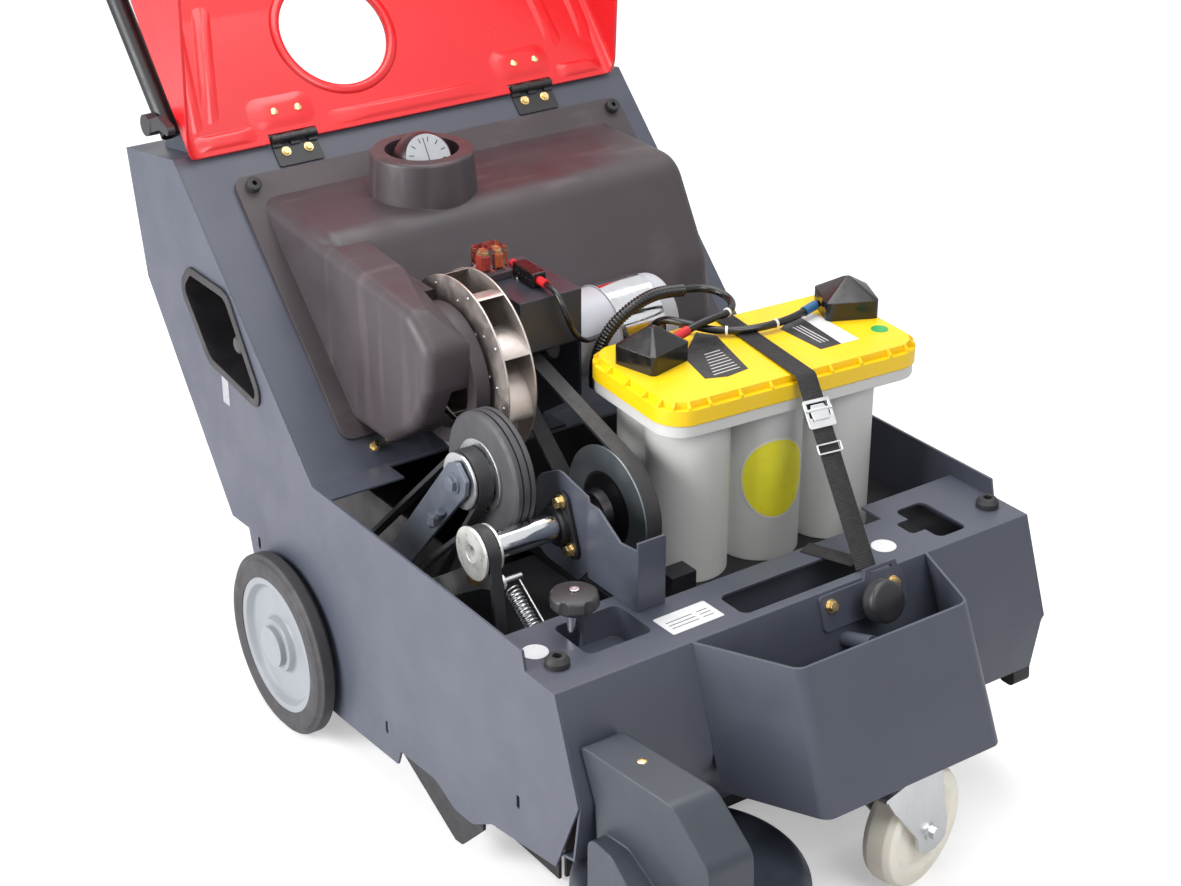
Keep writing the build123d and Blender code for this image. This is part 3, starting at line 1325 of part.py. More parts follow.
def friction_hub():
    x0, x1 = FRICTION_X
    bore = FRICTION_BORE_RADIUS + SHAFT_CLEARANCE
    half = TRACTION_WIDTH / 2 + 2
    start = TRACTION_X - half - 3
    profile = (
        (bore, start),
        (32, start),
        (32, TRACTION_X - half),
        (ZINC_PULLEY_RADIUS, TRACTION_X - half),
        (ZINC_PULLEY_RADIUS, TRACTION_X + half),
        (41, TRACTION_X + half),
        (41, x0),
        (36, x0),
        (36, x1),
        (bore, x1),
    )
    return turned(profile, along_x(FRICTION_AXIS, 0))


def side_brush_arm():
    gap = 3
    plan = outline((-307, -562), (-259, -562), (-222, -756), (-276, -756))
    side = outline(
        (face_y(ARM_TOP_Z) - gap, ARM_TOP_Z, 4),
        (-697, ARM_TOP_Z - 9, 25),
        (-744, 214, 25),
        (-750, DOME_TOP_Z - 10),
        (-600, DOME_TOP_Z - 10),
        (NOSE[0] - gap, NOSE[1]),
    )
    beam = prism_z(plan, DOME_TOP_Z - 10, ARM_TOP_Z) & prism_x(side, -330, -200)
    rim = ((DOME_RADIUS, DOME_SKIRT_Z), (DOME_RADIUS - 3, DOME_TOP_Z, 20))
    dome = turned(((0, DOME_SKIRT_Z), *rim, (0, DOME_TOP_Z)), Plane((*SIDE_BRUSH_AXIS, 0)))
    cheek = outline((-600, 92), (-600, 186, 14), (-640, 184, 20), (-700, 140, 30), (-722, 92))
    flank = prism_x(cheek, -316, -280)
    arm = joined(dome, beam, flank)
    arm -= rod_z(SIDE_BRUSH_AXIS, (DOME_SKIRT_Z, DOME_TOP_Z - 12), DOME_RADIUS - 6 - DOME_WALL)
    x, y = ARM_POST
    arm -= block((x - 12, x + 12), (y - 14, y + 60), (DOME_TOP_Z + 4, 200))
    arm -= rod_z(ARM_POST, (200, 256), ARM_POST_RADIUS + SHAFT_CLEARANCE)
    hub_height = DOME_TOP_Z - 8
    boss = tilt_brush(rod_z((0, 0), (62, hub_height), 20) - rod_z((0, 0), (62, 90), 9 + SHAFT_CLEARANCE))
    return joined(arm, boss)


def tilt_brush(shape):
    """Leans a piece of the side brush so that its front edge is the lowest."""
    return Pos(*SIDE_BRUSH_AXIS, 0) * Rot(X=SIDE_BRUSH_TILT) * shape


def side_brush_post():
    """The upright post on the front face that the side brush arm slides on."""
    x, y = ARM_POST

    def under_face(z):
        return NOSE[0] + (NOSE[1] - z) * (FRONT_LIP[0] - NOSE[0]) / (NOSE[1] - FRONT_LIP[1])

    low, high = 152, 164
    side = outline((y - 8, low), (y - 8, high), (under_face(high), high), (under_face(low), low))
    foot = prism_x(side, x - 8, x + 8)
    return joined(foot, rod_z(ARM_POST, (low, ARM_POST_TOP_Z), ARM_POST_RADIUS))


def side_brush():
    rim = SIDE_DISC_RADIUS
    disc = turned(((0, 46), (rim - 30, 44), (rim - 4, 46), (rim, 50), (rim, 58, 3), (0, 60)), Plane.XY)
    hub = rod_z((0, 0), (58, 88), 9)
    strands = []
    for count, root, tip in ((80, 66, BRISTLE_RADIUS), (48, 48, BRISTLE_RADIUS - 40)):
        drop = Vector(tip - root, 0, -BRISTLE_DROP)
        strand = Plane((root, 0, 49), x_dir=(0, 1, 0), z_dir=drop).location * block(
            (-BRISTLE / 2, BRISTLE / 2), (-BRISTLE / 2, BRISTLE / 2), (0, drop.length)
        )
        strands += [Rot(Z=360 * i / count) * strand for i in range(count)]
    return tilt_brush(joined(disc, hub, *strands))


def star_knob():
    spindle = rod_z(STAR_KNOB, (DECK_Z - WELL_DEPTH + SEAT_GAP, 354), 8)
    knob = turned(((0, 352), (20, 352, 3), (26, 358, 3), (25, 370, 4), (0, 374)), Plane((*STAR_KNOB, 0)))
    for index in range(6):
        angle = math.radians(60 * index + 30)
        centre = (STAR_KNOB[0] + 31 * math.cos(angle), STAR_KNOB[1] + 31 * math.sin(angle))
        knob -= rod_z(centre, (350, 376), 8)
    return joined(knob, spindle)


def guard_knob():
    seat = Plane(FACE.from_local_coords((72, -22, 4 + SEAT_GAP)), x_dir=FACE.x_dir, z_dir=FACE.z_dir)
    return turned(((0, 0), (6, 0), (6, 16), (20, 18, 3), (24, 24, 3), (23, 38, 5), (0, 40)), seat)


def handle():
    y, z = HANDLE_PIVOT
    foot = Vector(0, y, z) - HANDLE_WAY * 18
    top = foot + HANDLE_WAY * HANDLE_LEG_LENGTH
    x = HANDLE_LEG_X
    ends = ((-1, foot), (-1, top), (1, top), (1, foot))
    corners = [Vector(side * x, spot.Y, spot.Z) for side, spot in ends]
    path = FilletPolyline(*corners, radius=60)
    section = Circle(HANDLE_TUBE_RADIUS) - Circle(HANDLE_TUBE_RADIUS - HANDLE_TUBE_WALL)
    frame = sweep(Plane(path @ 0, z_dir=path % 0) * section, path=path)
    plane = Plane((0, y, z), x_dir=(1, 0, 0), z_dir=-HANDLE_OUT)
    for side in (-1, 1):
        frame -= rod_x(HANDLE_PIVOT, (side * (x - 20), side * (x + 20)), 5 + SHAFT_CLEARANCE)
    cross = on_plane(plane, box_outline((-x + 6, x - 6), CROSS_BAR, 4), -2, 2)
    spots = [Pos(side * HOOD_STOP_X, sum(CROSS_BAR) / 2) for side in (-1, 1)]
    stops = [on_plane(plane, spot * Face(Wire.make_circle(11)), 2, HOOD_STOP) for spot in spots]
    grips = []
    for side in (-1, 1):
        ends = sorted((side * 70, side * 220))
        grips.append(rod((ends[0], top.Y, top.Z), (ends[1], top.Y, top.Z), HANDLE_TUBE_RADIUS + 3.5))
    return joined(frame, cross, *stops, *grips), top


def drive_bail(top):
    """The drive bar under the grips, hung on the handle legs."""
    pivot = top - HANDLE_WAY * 120
    x = HANDLE_LEG_X - HANDLE_TUBE_RADIUS - RUN_GAP
    bar = pivot + HANDLE_WAY * 80 + HANDLE_OUT * 45
    ends = ((-1, pivot), (-1, bar), (1, bar), (1, pivot))
    path = FilletPolyline(*[Vector(side * (x - 4), spot.Y, spot.Z) for side, spot in ends], radius=25)
    rod_bail = sweep(Plane(path @ 0, z_dir=path % 0) * Circle(4), path=path)
    eyes = [rod((s * (x - 8), pivot.Y, pivot.Z), (s * x, pivot.Y, pivot.Z), 8) for s in (-1, 1)]
    return joined(rod_bail, *eyes), pivot


def clamp_bolts():
    bolts_made = []
    for side in (-1, 1):
        inside = side * (HANDLE_LEG_X - HANDLE_TUBE_RADIUS - RUN_GAP - 5)
        outside = side * (HANDLE_LEG_X + HANDLE_TUBE_RADIUS + RUN_GAP)
        shank = rod_x(HANDLE_PIVOT, (inside, outside), 5)
        nut = hex_head(Plane((inside, *HANDLE_PIVOT), z_dir=(-side, 0, 0)), 15, 8)
        bolts_made.append(joined(shank, nut))
    return bolts_made


def clamp_lever():
    x = -(HANDLE_LEG_X + HANDLE_TUBE_RADIUS + RUN_GAP + SEAT_GAP)
    y, z = HANDLE_PIVOT
    hub = rod_x(HANDLE_PIVOT, (x, x - 14), 13)
    arm = outline(
        (y - 6, z - 8),
        (y - 6, z + 8),
        (y - 34, z + 20, 5),
        (y - 62, z + 12, 5),
        (y - 60, z + 2, 5),
        (y - 36, z + 4),
    )
    return joined(hub, prism_x(arm, x - 3, x - 13))


def hopper():
    (x0, x1), (y0, y1), (z0, z1) = HOPPER_X, HOPPER_Y, HOPPER_Z
    rise = (REAR_KINK[0] - REAR_FOOT[0]) / (REAR_KINK[1] - REAR_FOOT[1])

    def rear(z):
        return y1 + (z - z0) * rise

    outer = prism_x(outline((y0, z0), (y1, z0, 12), (rear(z1), z1), (y0, z1)), x0, x1)
    inside = (x0 + SHEET, x1 - SHEET)
    low, front = z0 + SHEET, y0 + SHEET
    inner = prism_x(outline((front, low), (y1 - 2, low, 10), (rear(z1) - 4, z1), (front, z1)), *inside)
    mouth = block(inside, (y0, front), (z0 + 50, z1))
    bin_shell = outer - inner - mouth
    width = INNER - 4
    line = [(rear(222), 222), (rear(458), 458)]
    door = prism_x(strip(line, SHEET), -width, width)
    door_plane = Plane((0, rear(330), 330), x_dir=(-1, 0, 0), z_dir=(0, 1, -rise))
    grip = on_plane(door_plane, box_outline((-70, 70), (-14, 14), 8), 0, 34)
    grip -= on_plane(door_plane, box_outline((-58, 58), (-20, 4)), 0, 24)
    return joined(bin_shell, door, grip)


def main():
    os.makedirs("parts", exist_ok=True)
    fixed_leaves, moving_leaves = hinge_parts()
    guard, bracket, peg = front_guard()
    frame, handle_top = handle()
    bail, bail_pivot = drive_bail(handle_top)
    print("bail pivot", bail_pivot)
    write("side_panel_right", side_panel_right())
    write("side_panel_left", *side_panel_left())
    write("top_panel", top_panel())
    write("front_deck", *front_deck(), side_brush_post())
    write("battery_tray", *battery_tray())
    write("brush_housing", brush_housing())
    write("front_guard", guard, bracket, peg)
    write("bearing_bracket", bearing_bracket())
    write("flange_bearings", *flange_bearings())
    write("side_pocket", side_pocket())
    write("filter_box", filter_box())
    write("rubber_buffers", *rubber_buffers())
    write("motor_body", motor_body())
    write("drive_cover", drive_cover())
    write("relay_fuses", *relay_fuses())
    write("battery_case", battery_case())
    write("battery_lid", battery_lid())
    write("terminal_covers", *terminal_covers())
    write("battery_strap", *battery_strap())
    write("strap_buckle", strap_buckle())
    write("battery_leads", *battery_leads())
    write("cable_conduit", cable_conduit())
    write("hinge_leaves", *fixed_leaves)
    write("skirt_flaps", *skirt_flaps())
    write("drive_belt", drive_belt())
    write("brush_belt", brush_belt())
    write("traction_belt", traction_belt())
    write("tension_spring", tension_spring())
    write("tensioner_arm", tensioner_arm())
    write("bowden_cable", bowden_cable())
    write("bolts", *bolts(), *clamp_bolts())
    write("hood", hood())
    write("hood_leaves", *moving_leaves)
    write("drive_tyre", tyre(-WHEEL_X, -1))
    write("drive_rim", rim(-WHEEL_X, -1, AXLE_RADIUS))
    write("rear_axle", rear_axle())
    write("free_tyre", tyre(WHEEL_X, 1))
    write("free_rim", rim(WHEEL_X, 1, AXLE_RADIUS + SHAFT_CLEARANCE))
    write("caster_fork", caster_fork())
    write("caster_wheel", caster_wheel())
    write("main_brush", main_brush())
    write("countershaft", countershaft())
    write("white_pulley", white_pulley())
    write("belt_pulley", belt_pulley())
    write("motor_shaft", motor_shaft())
    write("impeller", impeller())
    write("idler_pulley", idler_pulley())
    write("friction_arm", friction_arm())
    write("friction_tyre", friction_tyre())
    write("friction_hub", friction_hub())
    write("side_brush_arm", side_brush_arm())
    write("side_brush", side_brush())
    write("star_knob", star_knob())
    write("guard_knob", guard_knob())
    write("filter_dial", filter_dial())
    write("shaker_knob", shaker_knob())
    write("handle", frame)
    write("drive_bail", bail)
    write("clamp_lever", clamp_lever())
    write("hopper", hopper())


main()
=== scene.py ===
import bmesh
import bpy
import json
import math
import random
from mathutils import Matrix, Vector


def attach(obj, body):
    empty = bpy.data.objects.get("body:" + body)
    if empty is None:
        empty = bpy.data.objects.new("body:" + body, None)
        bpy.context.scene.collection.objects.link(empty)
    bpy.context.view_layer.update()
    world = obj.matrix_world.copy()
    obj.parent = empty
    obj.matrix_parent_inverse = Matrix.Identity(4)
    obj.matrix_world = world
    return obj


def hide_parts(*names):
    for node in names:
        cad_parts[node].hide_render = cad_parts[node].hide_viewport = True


# The looks of a walk-behind battery sweeper with its hood open, in metres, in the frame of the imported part.

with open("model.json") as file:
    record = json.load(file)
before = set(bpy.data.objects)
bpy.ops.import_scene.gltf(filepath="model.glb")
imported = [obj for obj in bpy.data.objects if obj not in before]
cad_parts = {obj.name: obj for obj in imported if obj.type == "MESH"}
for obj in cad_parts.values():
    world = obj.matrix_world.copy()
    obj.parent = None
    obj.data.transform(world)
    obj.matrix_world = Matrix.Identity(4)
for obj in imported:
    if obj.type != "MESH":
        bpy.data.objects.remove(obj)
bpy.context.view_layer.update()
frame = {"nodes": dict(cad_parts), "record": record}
MM = 0.001
random.seed(4)


def point(*coordinates):
    """A point given in millimetres."""
    return Vector(coordinates) * MM


def srgb(red, green, blue):
    """A colour as it looks on a screen, turned to the linear values that shaders take."""
    linear = [c / 12.92 / 255 if c < 10.3 else ((c / 255 + 0.055) / 1.055) ** 2.4 for c in (red, green, blue)]
    return (*linear, 1.0)


def scaled(colour, factor):
    return (*[min(1.0, c * factor) for c in colour[:3]], 1.0)


# Materials

def link(tree, source, target):
    """Feeds a socket from another one, or with a constant."""
    if isinstance(source, bpy.types.NodeSocket):
        tree.links.new(source, target)
    else:
        target.default_value = source


def fill(tree, node, inputs):
    for key, value in inputs.items():
        link(tree, value, node.inputs[key])


def built(tree, kind, output, inputs=None, **settings):
    """One output of a new node with the given inputs and settings."""
    node = tree.nodes.new("ShaderNode" + kind)
    for key, setting in settings.items():
        setattr(node, key, setting)
    fill(tree, node, inputs or {})
    return node.outputs[output]


def new_material(name):
    """A material, its node tree, its shader and the object's own coordinates."""
    material = bpy.data.materials.new(name)
    material.use_nodes = True
    tree = material.node_tree
    return material, tree, tree.nodes["Principled BSDF"], built(tree, "TexCoord", "Object")


def noise(tree, coords, scale, detail=3.0, stretch=None):
    if stretch:
        coords = built(tree, "Mapping", "Vector", {"Scale": stretch, "Vector": coords})
    return built(tree, "TexNoise", "Fac", {"Scale": scale, "Detail": detail, "Vector": coords})


def ranged(tree, value, low, high, start=0.35, stop=0.65):
    """Maps the values from start to stop onto those from low to high."""
    limits = {"From Min": start, "From Max": stop, "To Min": low, "To Max": high}
    return built(tree, "MapRange", "Result", {"Value": value, **limits})


def mixed(tree, factor, first, second):
    """A colour mix; first and second are colours or sockets."""
    node = tree.nodes.new("ShaderNodeMix")
    node.data_type = "RGBA"
    link(tree, factor, node.inputs["Factor"])
    for name, value in (("A", first), ("B", second)):
        link(tree, value, [s for s in node.inputs if s.name == name and s.type == "RGBA"][0])
    return [s for s in node.outputs if s.type == "RGBA"][0]


def edge_mask(tree, radius):
    """Near one along sharp edges, zero on flats."""
    bevel = built(tree, "Bevel", "Normal", {"Radius": radius}, samples=6)
    flat = built(tree, "NewGeometry", "Normal")
    likeness = built(tree, "VectorMath", "Value", {0: bevel, 1: flat}, operation="DOT_PRODUCT")
    return ranged(tree, likeness, 1.0, 0.0, 0.7, 0.98)


def surface(name, colour, rough, metallic=0.0, spread=0.12, mottle=9.0, grain=None, rough_spread=0.08,
            streaks=None, edge=None, rounding=0.0008, **sockets):
    """A procedural finish: mottled colour, uneven gloss, fine grain, edges lightened in patches as wear and
    as a painted highlight, and softened corners.

    grain is (features per metre, height in metres), streaks is (colour, amount, stretch),
    edge is (colour, amount, width)."""
    material, tree, shader, coords = new_material(name)
    tone = ranged(tree, noise(tree, coords, mottle, 5.0), 0.0, 1.0, 0.3, 0.7)
    tint = mixed(tree, tone, scaled(colour, 1 - spread), scaled(colour, 1 + spread))
    if streaks:
        streak_colour, amount, stretch = streaks
        streak = ranged(tree, noise(tree, coords, 1.0, 6.0, stretch), 0.0, amount, 0.56, 0.72)
        tint = mixed(tree, streak, tint, streak_colour)
    # Lighter colour along sharp edges in patches: partly edge wear, partly a painted edge highlight.
    if edge:
        edge_colour, amount, width = edge
        edge_patches = ranged(tree, noise(tree, coords, 60.0, 4.0), 0.15, amount, 0.4, 0.65)
        wear_and_highlight = built(tree, "Math", "Value", {0: edge_mask(tree, width), 1: edge_patches}, operation="MULTIPLY")
        tint = mixed(tree, wear_and_highlight, tint, edge_colour)
    gloss = ranged(tree, noise(tree, coords, mottle * 3.1, 4.0), rough - rough_spread, rough + rough_spread)
    normal = built(tree, "Bevel", "Normal", {"Radius": rounding}, samples=4)
    if grain:
        scale, height = grain
        grains = noise(tree, coords, scale, 2.0)
        relief = {"Distance": height, "Strength": 0.6, "Height": grains, "Normal": normal}
        normal = built(tree, "Bump", "Normal", relief)
    fill(tree, shader, {"Base Color": tint, "Roughness": gloss, "Metallic": metallic, "Normal": normal})
    fill(tree, shader, {socket.replace("_", " "): value for socket, value in sockets.items()})
    return material


def woven(name, colour, pitch):
    """Webbing: a ribbed weave that runs along the strap's own length, from its UV map in metres."""
    material = surface(name, colour, 0.75, spread=0.2, mottle=60.0)
    tree = material.node_tree
    uv = built(tree, "UVMap", "UV")
    waves = []
    for direction, share in (("X", 1.0), ("Y", 0.55)):
        inputs = {"Scale": share / pitch / 3.2, "Distortion": 0.4, "Vector": uv}
        waves.append(built(tree, "TexWave", "Fac", inputs, bands_direction=direction))
    height = built(tree, "Math", "Value", dict(enumerate(waves)), operation="ADD")
    normal = built(tree, "Bump", "Normal", {"Distance": 0.0006, "Height": height})
    link(tree, normal, tree.nodes["Principled BSDF"].inputs["Normal"])
    return material


PALE = srgb(176, 182, 190)
SLATE = srgb(72, 76, 88)
# The pale edge colours in these finishes are partly wear and partly a painted edge highlight; on the red hood
# moulding they are a painted highlight.
LOOKS = {
    "panel_paint": surface("slate_paint", SLATE, 0.42, spread=0.05, grain=(1500, 0.00004), rounding=0.0012,
                           edge=(PALE, 0.35, 0.0009), mottle=5.0),
    "black_paint": surface("black_paint", srgb(30, 31, 34), 0.4, spread=0.15, grain=(1600, 0.00004),
                           edge=(srgb(92, 94, 98), 0.4, 0.0008)),
    "panel_plastic": surface("slate_plastic", srgb(50, 55, 65), 0.4, spread=0.06, grain=(1200, 0.00005),
                             rounding=0.003, edge=(PALE, 0.12, 0.001)),
    "hood_red": surface("red_moulding", srgb(226, 36, 42), 0.3, rough_spread=0.03, spread=0.05, mottle=4.0,
                        grain=(420, 0.00005), rounding=0.0012, edge=(srgb(255, 92, 92), 0.35, 0.0012),
                        Coat_Weight=0.25, Coat_Roughness=0.2),
    "black_plastic": surface("black_moulding", srgb(58, 51, 55), 0.5, spread=0.14, mottle=6.0,
                             grain=(900, 0.00008), rounding=0.0012,
                             streaks=(srgb(112, 102, 104), 0.3, (9.0, 34.0, 3.0))),
    "black_gloss": surface("black_gloss", srgb(20, 19, 20), 0.22, spread=0.2, mottle=20.0, rounding=0.0015),
    "grey_plastic": surface("case_grey", srgb(208, 208, 206), 0.45, spread=0.04, grain=(1100, 0.00004),
                            rounding=0.002, streaks=(srgb(188, 189, 189), 0.25, (30.0, 30.0, 4.0))),
    "rim_grey": surface("rim_grey", srgb(138, 142, 147), 0.4, spread=0.05, grain=(900, 0.00005),
                        rounding=0.0015),
    "lid_yellow": surface("lid_yellow", srgb(246, 204, 14), 0.38, spread=0.04, grain=(1000, 0.00004),
                          rounding=0.0015),
    "relay_clear": surface("relay_red", srgb(176, 66, 52), 0.3, spread=0.2, mottle=70.0),
    "white_plastic": surface("white_moulding", srgb(214, 214, 208), 0.4, spread=0.05, grain=(900, 0.00004)),
    "nylon": surface("nylon", srgb(240, 236, 222), 0.38, spread=0.06, mottle=14.0, grain=(500, 0.00006),
                     rounding=0.002, Subsurface_Weight=0.25, Subsurface_Scale=0.01),
    "motor_paint": surface("motor_paint", srgb(186, 188, 196), 0.35, spread=0.04, grain=(800, 0.00004),
                           rounding=0.0015),
    "zinc": surface("zinc_plate", srgb(204, 206, 207), 0.32, metallic=1.0, spread=0.05, mottle=16.0,
                    rough_spread=0.06, grain=(1400, 0.00003), edge=(srgb(235, 236, 238), 0.5, 0.0006)),
    "yellow_zinc": surface("yellow_zinc", srgb(226, 198, 142), 0.32, metallic=1.0, spread=0.2, mottle=90.0,
                           edge=(srgb(250, 226, 170), 0.6, 0.0006)),
    "chrome": surface("chrome", srgb(216, 218, 222), 0.12, metallic=1.0, spread=0.05, mottle=30.0,
                      rough_spread=0.06, streaks=(srgb(170, 172, 178), 0.5, (6.0, 160.0, 160.0))),
    "impeller_metal": surface("sheet_aluminium", srgb(182, 173, 168), 0.45, metallic=0.85, spread=0.12,
                              mottle=22.0, rough_spread=0.1, grain=(1300, 0.00004),
                              edge=(srgb(238, 236, 232), 0.8, 0.001)),
    "rubber": surface("rubber", srgb(34, 34, 36), 0.65, spread=0.2, mottle=18.0, grain=(1200, 0.00006)),
    "belt_rubber": surface("belt_rubber", srgb(40, 40, 43), 0.55, spread=0.25, mottle=40.0,
                           grain=(1500, 0.00006)),
    "tyre": surface("tyre_rubber", srgb(52, 51, 54), 0.6, spread=0.18, mottle=20.0, grain=(900, 0.0001),
                    rounding=0.0015, streaks=(srgb(88, 84, 83), 0.25, (40.0, 40.0, 40.0))),
    "webbing": woven("webbing", srgb(38, 37, 38), 0.0014),
    "bristle": surface("bristle", srgb(196, 124, 66), 0.45, spread=0.35, mottle=160.0, rounding=0.0),
}
# The pale edge colours here are partly wear and partly a painted edge highlight; the pulley's strong
# near-white edges are a painted highlight along its rims.
OWN_LOOKS = {
    "drive_cover": surface("cover_moulding", srgb(48, 51, 60), 0.4, spread=0.12, grain=(900, 0.00006),
                           rounding=0.002),
    "friction_arm": surface("arm_steel", srgb(104, 110, 122), 0.36, metallic=0.55, spread=0.1, mottle=14.0,
                            grain=(1500, 0.00003), edge=(PALE, 0.5, 0.0008)),
    "belt_pulley": surface("pulley_steel", srgb(122, 130, 136), 0.36, metallic=0.7, spread=0.12, mottle=12.0,
                           edge=(srgb(226, 228, 230), 0.9, 0.001)),
    "white_pulley": surface("pulley_silver", srgb(222, 222, 218), 0.34, metallic=0.7, spread=0.05,
                            mottle=30.0, grain=(900, 0.00003)),
    "friction_tyre": surface("friction_rubber", srgb(66, 65, 69), 0.58, spread=0.14, mottle=30.0,
                             grain=(900, 0.00008), rounding=0.001),
    "side_pocket": surface("pocket_black", srgb(30, 28, 31), 0.4, spread=0.15, grain=(900, 0.00006),
                           rounding=0.002),
    "shaker_knob": surface("knob_gloss", srgb(34, 33, 35), 0.18, spread=0.12, rounding=0.002),
}
PULLEY_AXIS = (0.0, -0.326, 0.362)
PULLEY_HUB = 0.043


def dark_hub(material, centre, radius, colour):
    """A second colour inside a radius of an axis that runs along X."""
    tree = material.node_tree
    tint = tree.nodes["Principled BSDF"].inputs["Base Color"]
    coords = built(tree, "TexCoord", "Object")
    flat = built(tree, "VectorMath", "Vector", {0: coords, 1: (0.0, 1.0, 1.0)}, operation="MULTIPLY")
    reach = built(tree, "VectorMath", "Value", {0: flat, 1: centre}, operation="DISTANCE")
    outside = ranged(tree, reach, 0.0, 1.0, radius - 0.0006, radius + 0.0006)
    link(tree, mixed(tree, outside, colour, tint.links[0].from_socket), tint)


dark_hub(OWN_LOOKS["belt_pulley"], PULLEY_AXIS, PULLEY_HUB, srgb(38, 36, 40))
KNOB_BLACK = surface("knob_black", srgb(42, 42, 45), 0.42, spread=0.12, grain=(900, 0.00006), rounding=0.002)
for knob in ("star_knob", "guard_knob", "clamp_lever"):
    OWN_LOOKS[knob] = KNOB_BLACK
SLOT_OF = {row["node"]: row["material_slot"] for row in frame["record"]["subparts"]}
BODY_OF = {node: body for body, nodes in frame["record"]["behaviour"]["bodies"].items() for node in nodes}

for node, obj in frame["nodes"].items():
    obj.data.materials.clear()
    obj.data.materials.append(OWN_LOOKS.get(node, LOOKS[SLOT_OF[node]]))


# Mesh helpers

def placed(name, data):
    thing = bpy.data.objects.new(name, data)
    bpy.context.scene.collection.objects.link(thing)
    return thing


def add_piece(name, mesh, body, slot, material=None, smooth=35.0):
    piece = placed(name, mesh)
    mesh.materials.clear()
    mesh.materials.append(material or LOOKS[slot])
    for polygon in mesh.polygons:
        polygon.use_smooth = True
    mesh.set_sharp_from_angle(angle=math.radians(smooth))
    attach(piece, body)
    return piece


def from_bmesh(name, shape):
    mesh = bpy.data.meshes.new(name)
    shape.normal_update()
    shape.to_mesh(mesh)
    shape.free()
    return mesh


def add_shape(name, shape, body, slot, material=None, smooth=35.0):
    return add_piece(name, from_bmesh(name, shape), body, slot, material, smooth)


def outward(shape):
    bmesh.ops.recalc_face_normals(shape, faces=shape.faces[:])


def soften(piece, width, angle):
    """Rounds the edges that turn by more than an angle in degrees."""
    rounding = piece.modifiers.new("rounding", "BEVEL")
    rounding.width = width * MM
    rounding.segments = 2
    rounding.limit_method = "ANGLE"
    rounding.angle_limit = math.radians(angle)
    rounding.harden_normals = True


def skin(node, width):
    """A copy of a CAD node with rounded edges and smooth curved faces, shown in its place."""
    shape = bmesh.new()
    shape.from_mesh(frame["nodes"][node].data)
    bmesh.ops.remove_doubles(shape, verts=shape.verts[:], dist=2e-6)
    bmesh.ops.dissolve_limit(shape, angle_limit=math.radians(0.6), verts=shape.verts[:], edges=shape.edges[:])
    mesh = from_bmesh(node + "_skin", shape)
    attribute = mesh.attributes.get("custom_normal")
    if attribute:
        mesh.attributes.remove(attribute)
    piece = add_piece(node + "_skin", mesh, BODY_OF[node], SLOT_OF[node], OWN_LOOKS.get(node))
    soften(piece, width, 38.0)
    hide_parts(node)


def loft_rings(shape, rings, closed_ends=True, loop=False):
    """Bridges rings of vertices given as lists of points."""
    rows = [[shape.verts.new(p) for p in ring] for ring in rings]
    pairs = list(zip(rows, rows[1:])) + ([(rows[-1], rows[0])] if loop else [])
    for near, far in pairs:
        count = len(near)
        for i in range(count):
            shape.faces.new((near[i], near[(i + 1) % count], far[(i + 1) % count], far[i]))
    if closed_ends and not loop:
        shape.faces.new(list(reversed(rows[0])))
        shape.faces.new(rows[-1])
    return rows


def ring_frame(along):
    along = along.normalized()
    across = along.cross(Vector((0, 0, 1)) if abs(along.z) < 0.9 else Vector((1, 0, 0))).normalized()
    return across, along.cross(across)


def spoke(across, up, turn):
    return across * math.cos(turn) + up * math.sin(turn)


def round_ring(middle, across, up, radius, sides):
    return [middle + spoke(across, up, 2 * math.pi * i / sides) * radius for i in range(sides)]


def tube_rings(path, radii, sides):
    """Rings along a path of points, carried without twist."""
    rings = []
    across = None
    for index, here in enumerate(path):
        after = path[min(index + 1, len(path) - 1)]
        before = path[max(index - 1, 0)]
        along = (after - before).normalized()
        if across is None:
            across, up = ring_frame(along)
        else:
            across = (across - along * across.dot(along)).normalized()
            up = along.cross(across)
        radius = radii[index] if isinstance(radii, list) else radii
        rings.append(round_ring(here, across, up, radius, sides))
    return rings


def tube(name, path, radii, sides, body, slot, material=None):
    shape = bmesh.new()
    loft_rings(shape, tube_rings(path, radii, sides))
    return add_shape(name, shape, body, slot, material)


def spline_points(route, spacing):
    """Even points along a smooth curve that follows a route given in millimetres."""
    curve = bpy.data.curves.new("route", "CURVE")
    curve.dimensions = "3D"
    spline = curve.splines.new("NURBS")
    spline.points.add(len(route) - 1)
    for knot, place in zip(spline.points, route):
        knot.co = (*point(*place), 1.0)
    spline.order_u = 3
    spline.use_endpoint_u = True
    spline.resolution_u = 24
    holder = placed("route", curve)
    bpy.context.view_layer.update()
    mesh = bpy.data.meshes.new_from_object(holder.evaluated_get(bpy.context.evaluated_depsgraph_get()))
    line = [v.co.copy() for v in mesh.vertices]
    bpy.data.objects.remove(holder)
    bpy.data.meshes.remove(mesh)
    reach = [0.0]
    for a, b in zip(line, line[1:]):
        reach.append(reach[-1] + (b - a).length)
    count = max(2, int(reach[-1] / spacing))
    points = []
    at = 0
    for i in range(count + 1):
        goal = reach[-1] * i / count
        while at < len(line) - 2 and reach[at + 1] < goal:
            at += 1
        share = (goal - reach[at]) / max(1e-9, reach[at + 1] - reach[at])
        points.append(line[at].lerp(line[at + 1], share))
    return points


def lathe(name, profile, origin, axis, sides, body, slot, material=None, smooth=35.0):
    """A closed ring turned about an axis; profile corners are (radius, height) in millimetres."""
    axis = Vector(axis).normalized()
    across, up = ring_frame(axis)
    shape = bmesh.new()
    rings = []
    for i in range(sides):
        out = spoke(across, up, 2 * math.pi * i / sides)
        rings.append([point(*origin) + out * (r * MM) + axis * (h * MM) for r, h in profile])
    loft_rings(shape, rings, loop=True)
    bmesh.ops.remove_doubles(shape, verts=shape.verts[:], dist=1e-7)
    outward(shape)
    return add_shape(name, shape, body, slot, material, smooth)


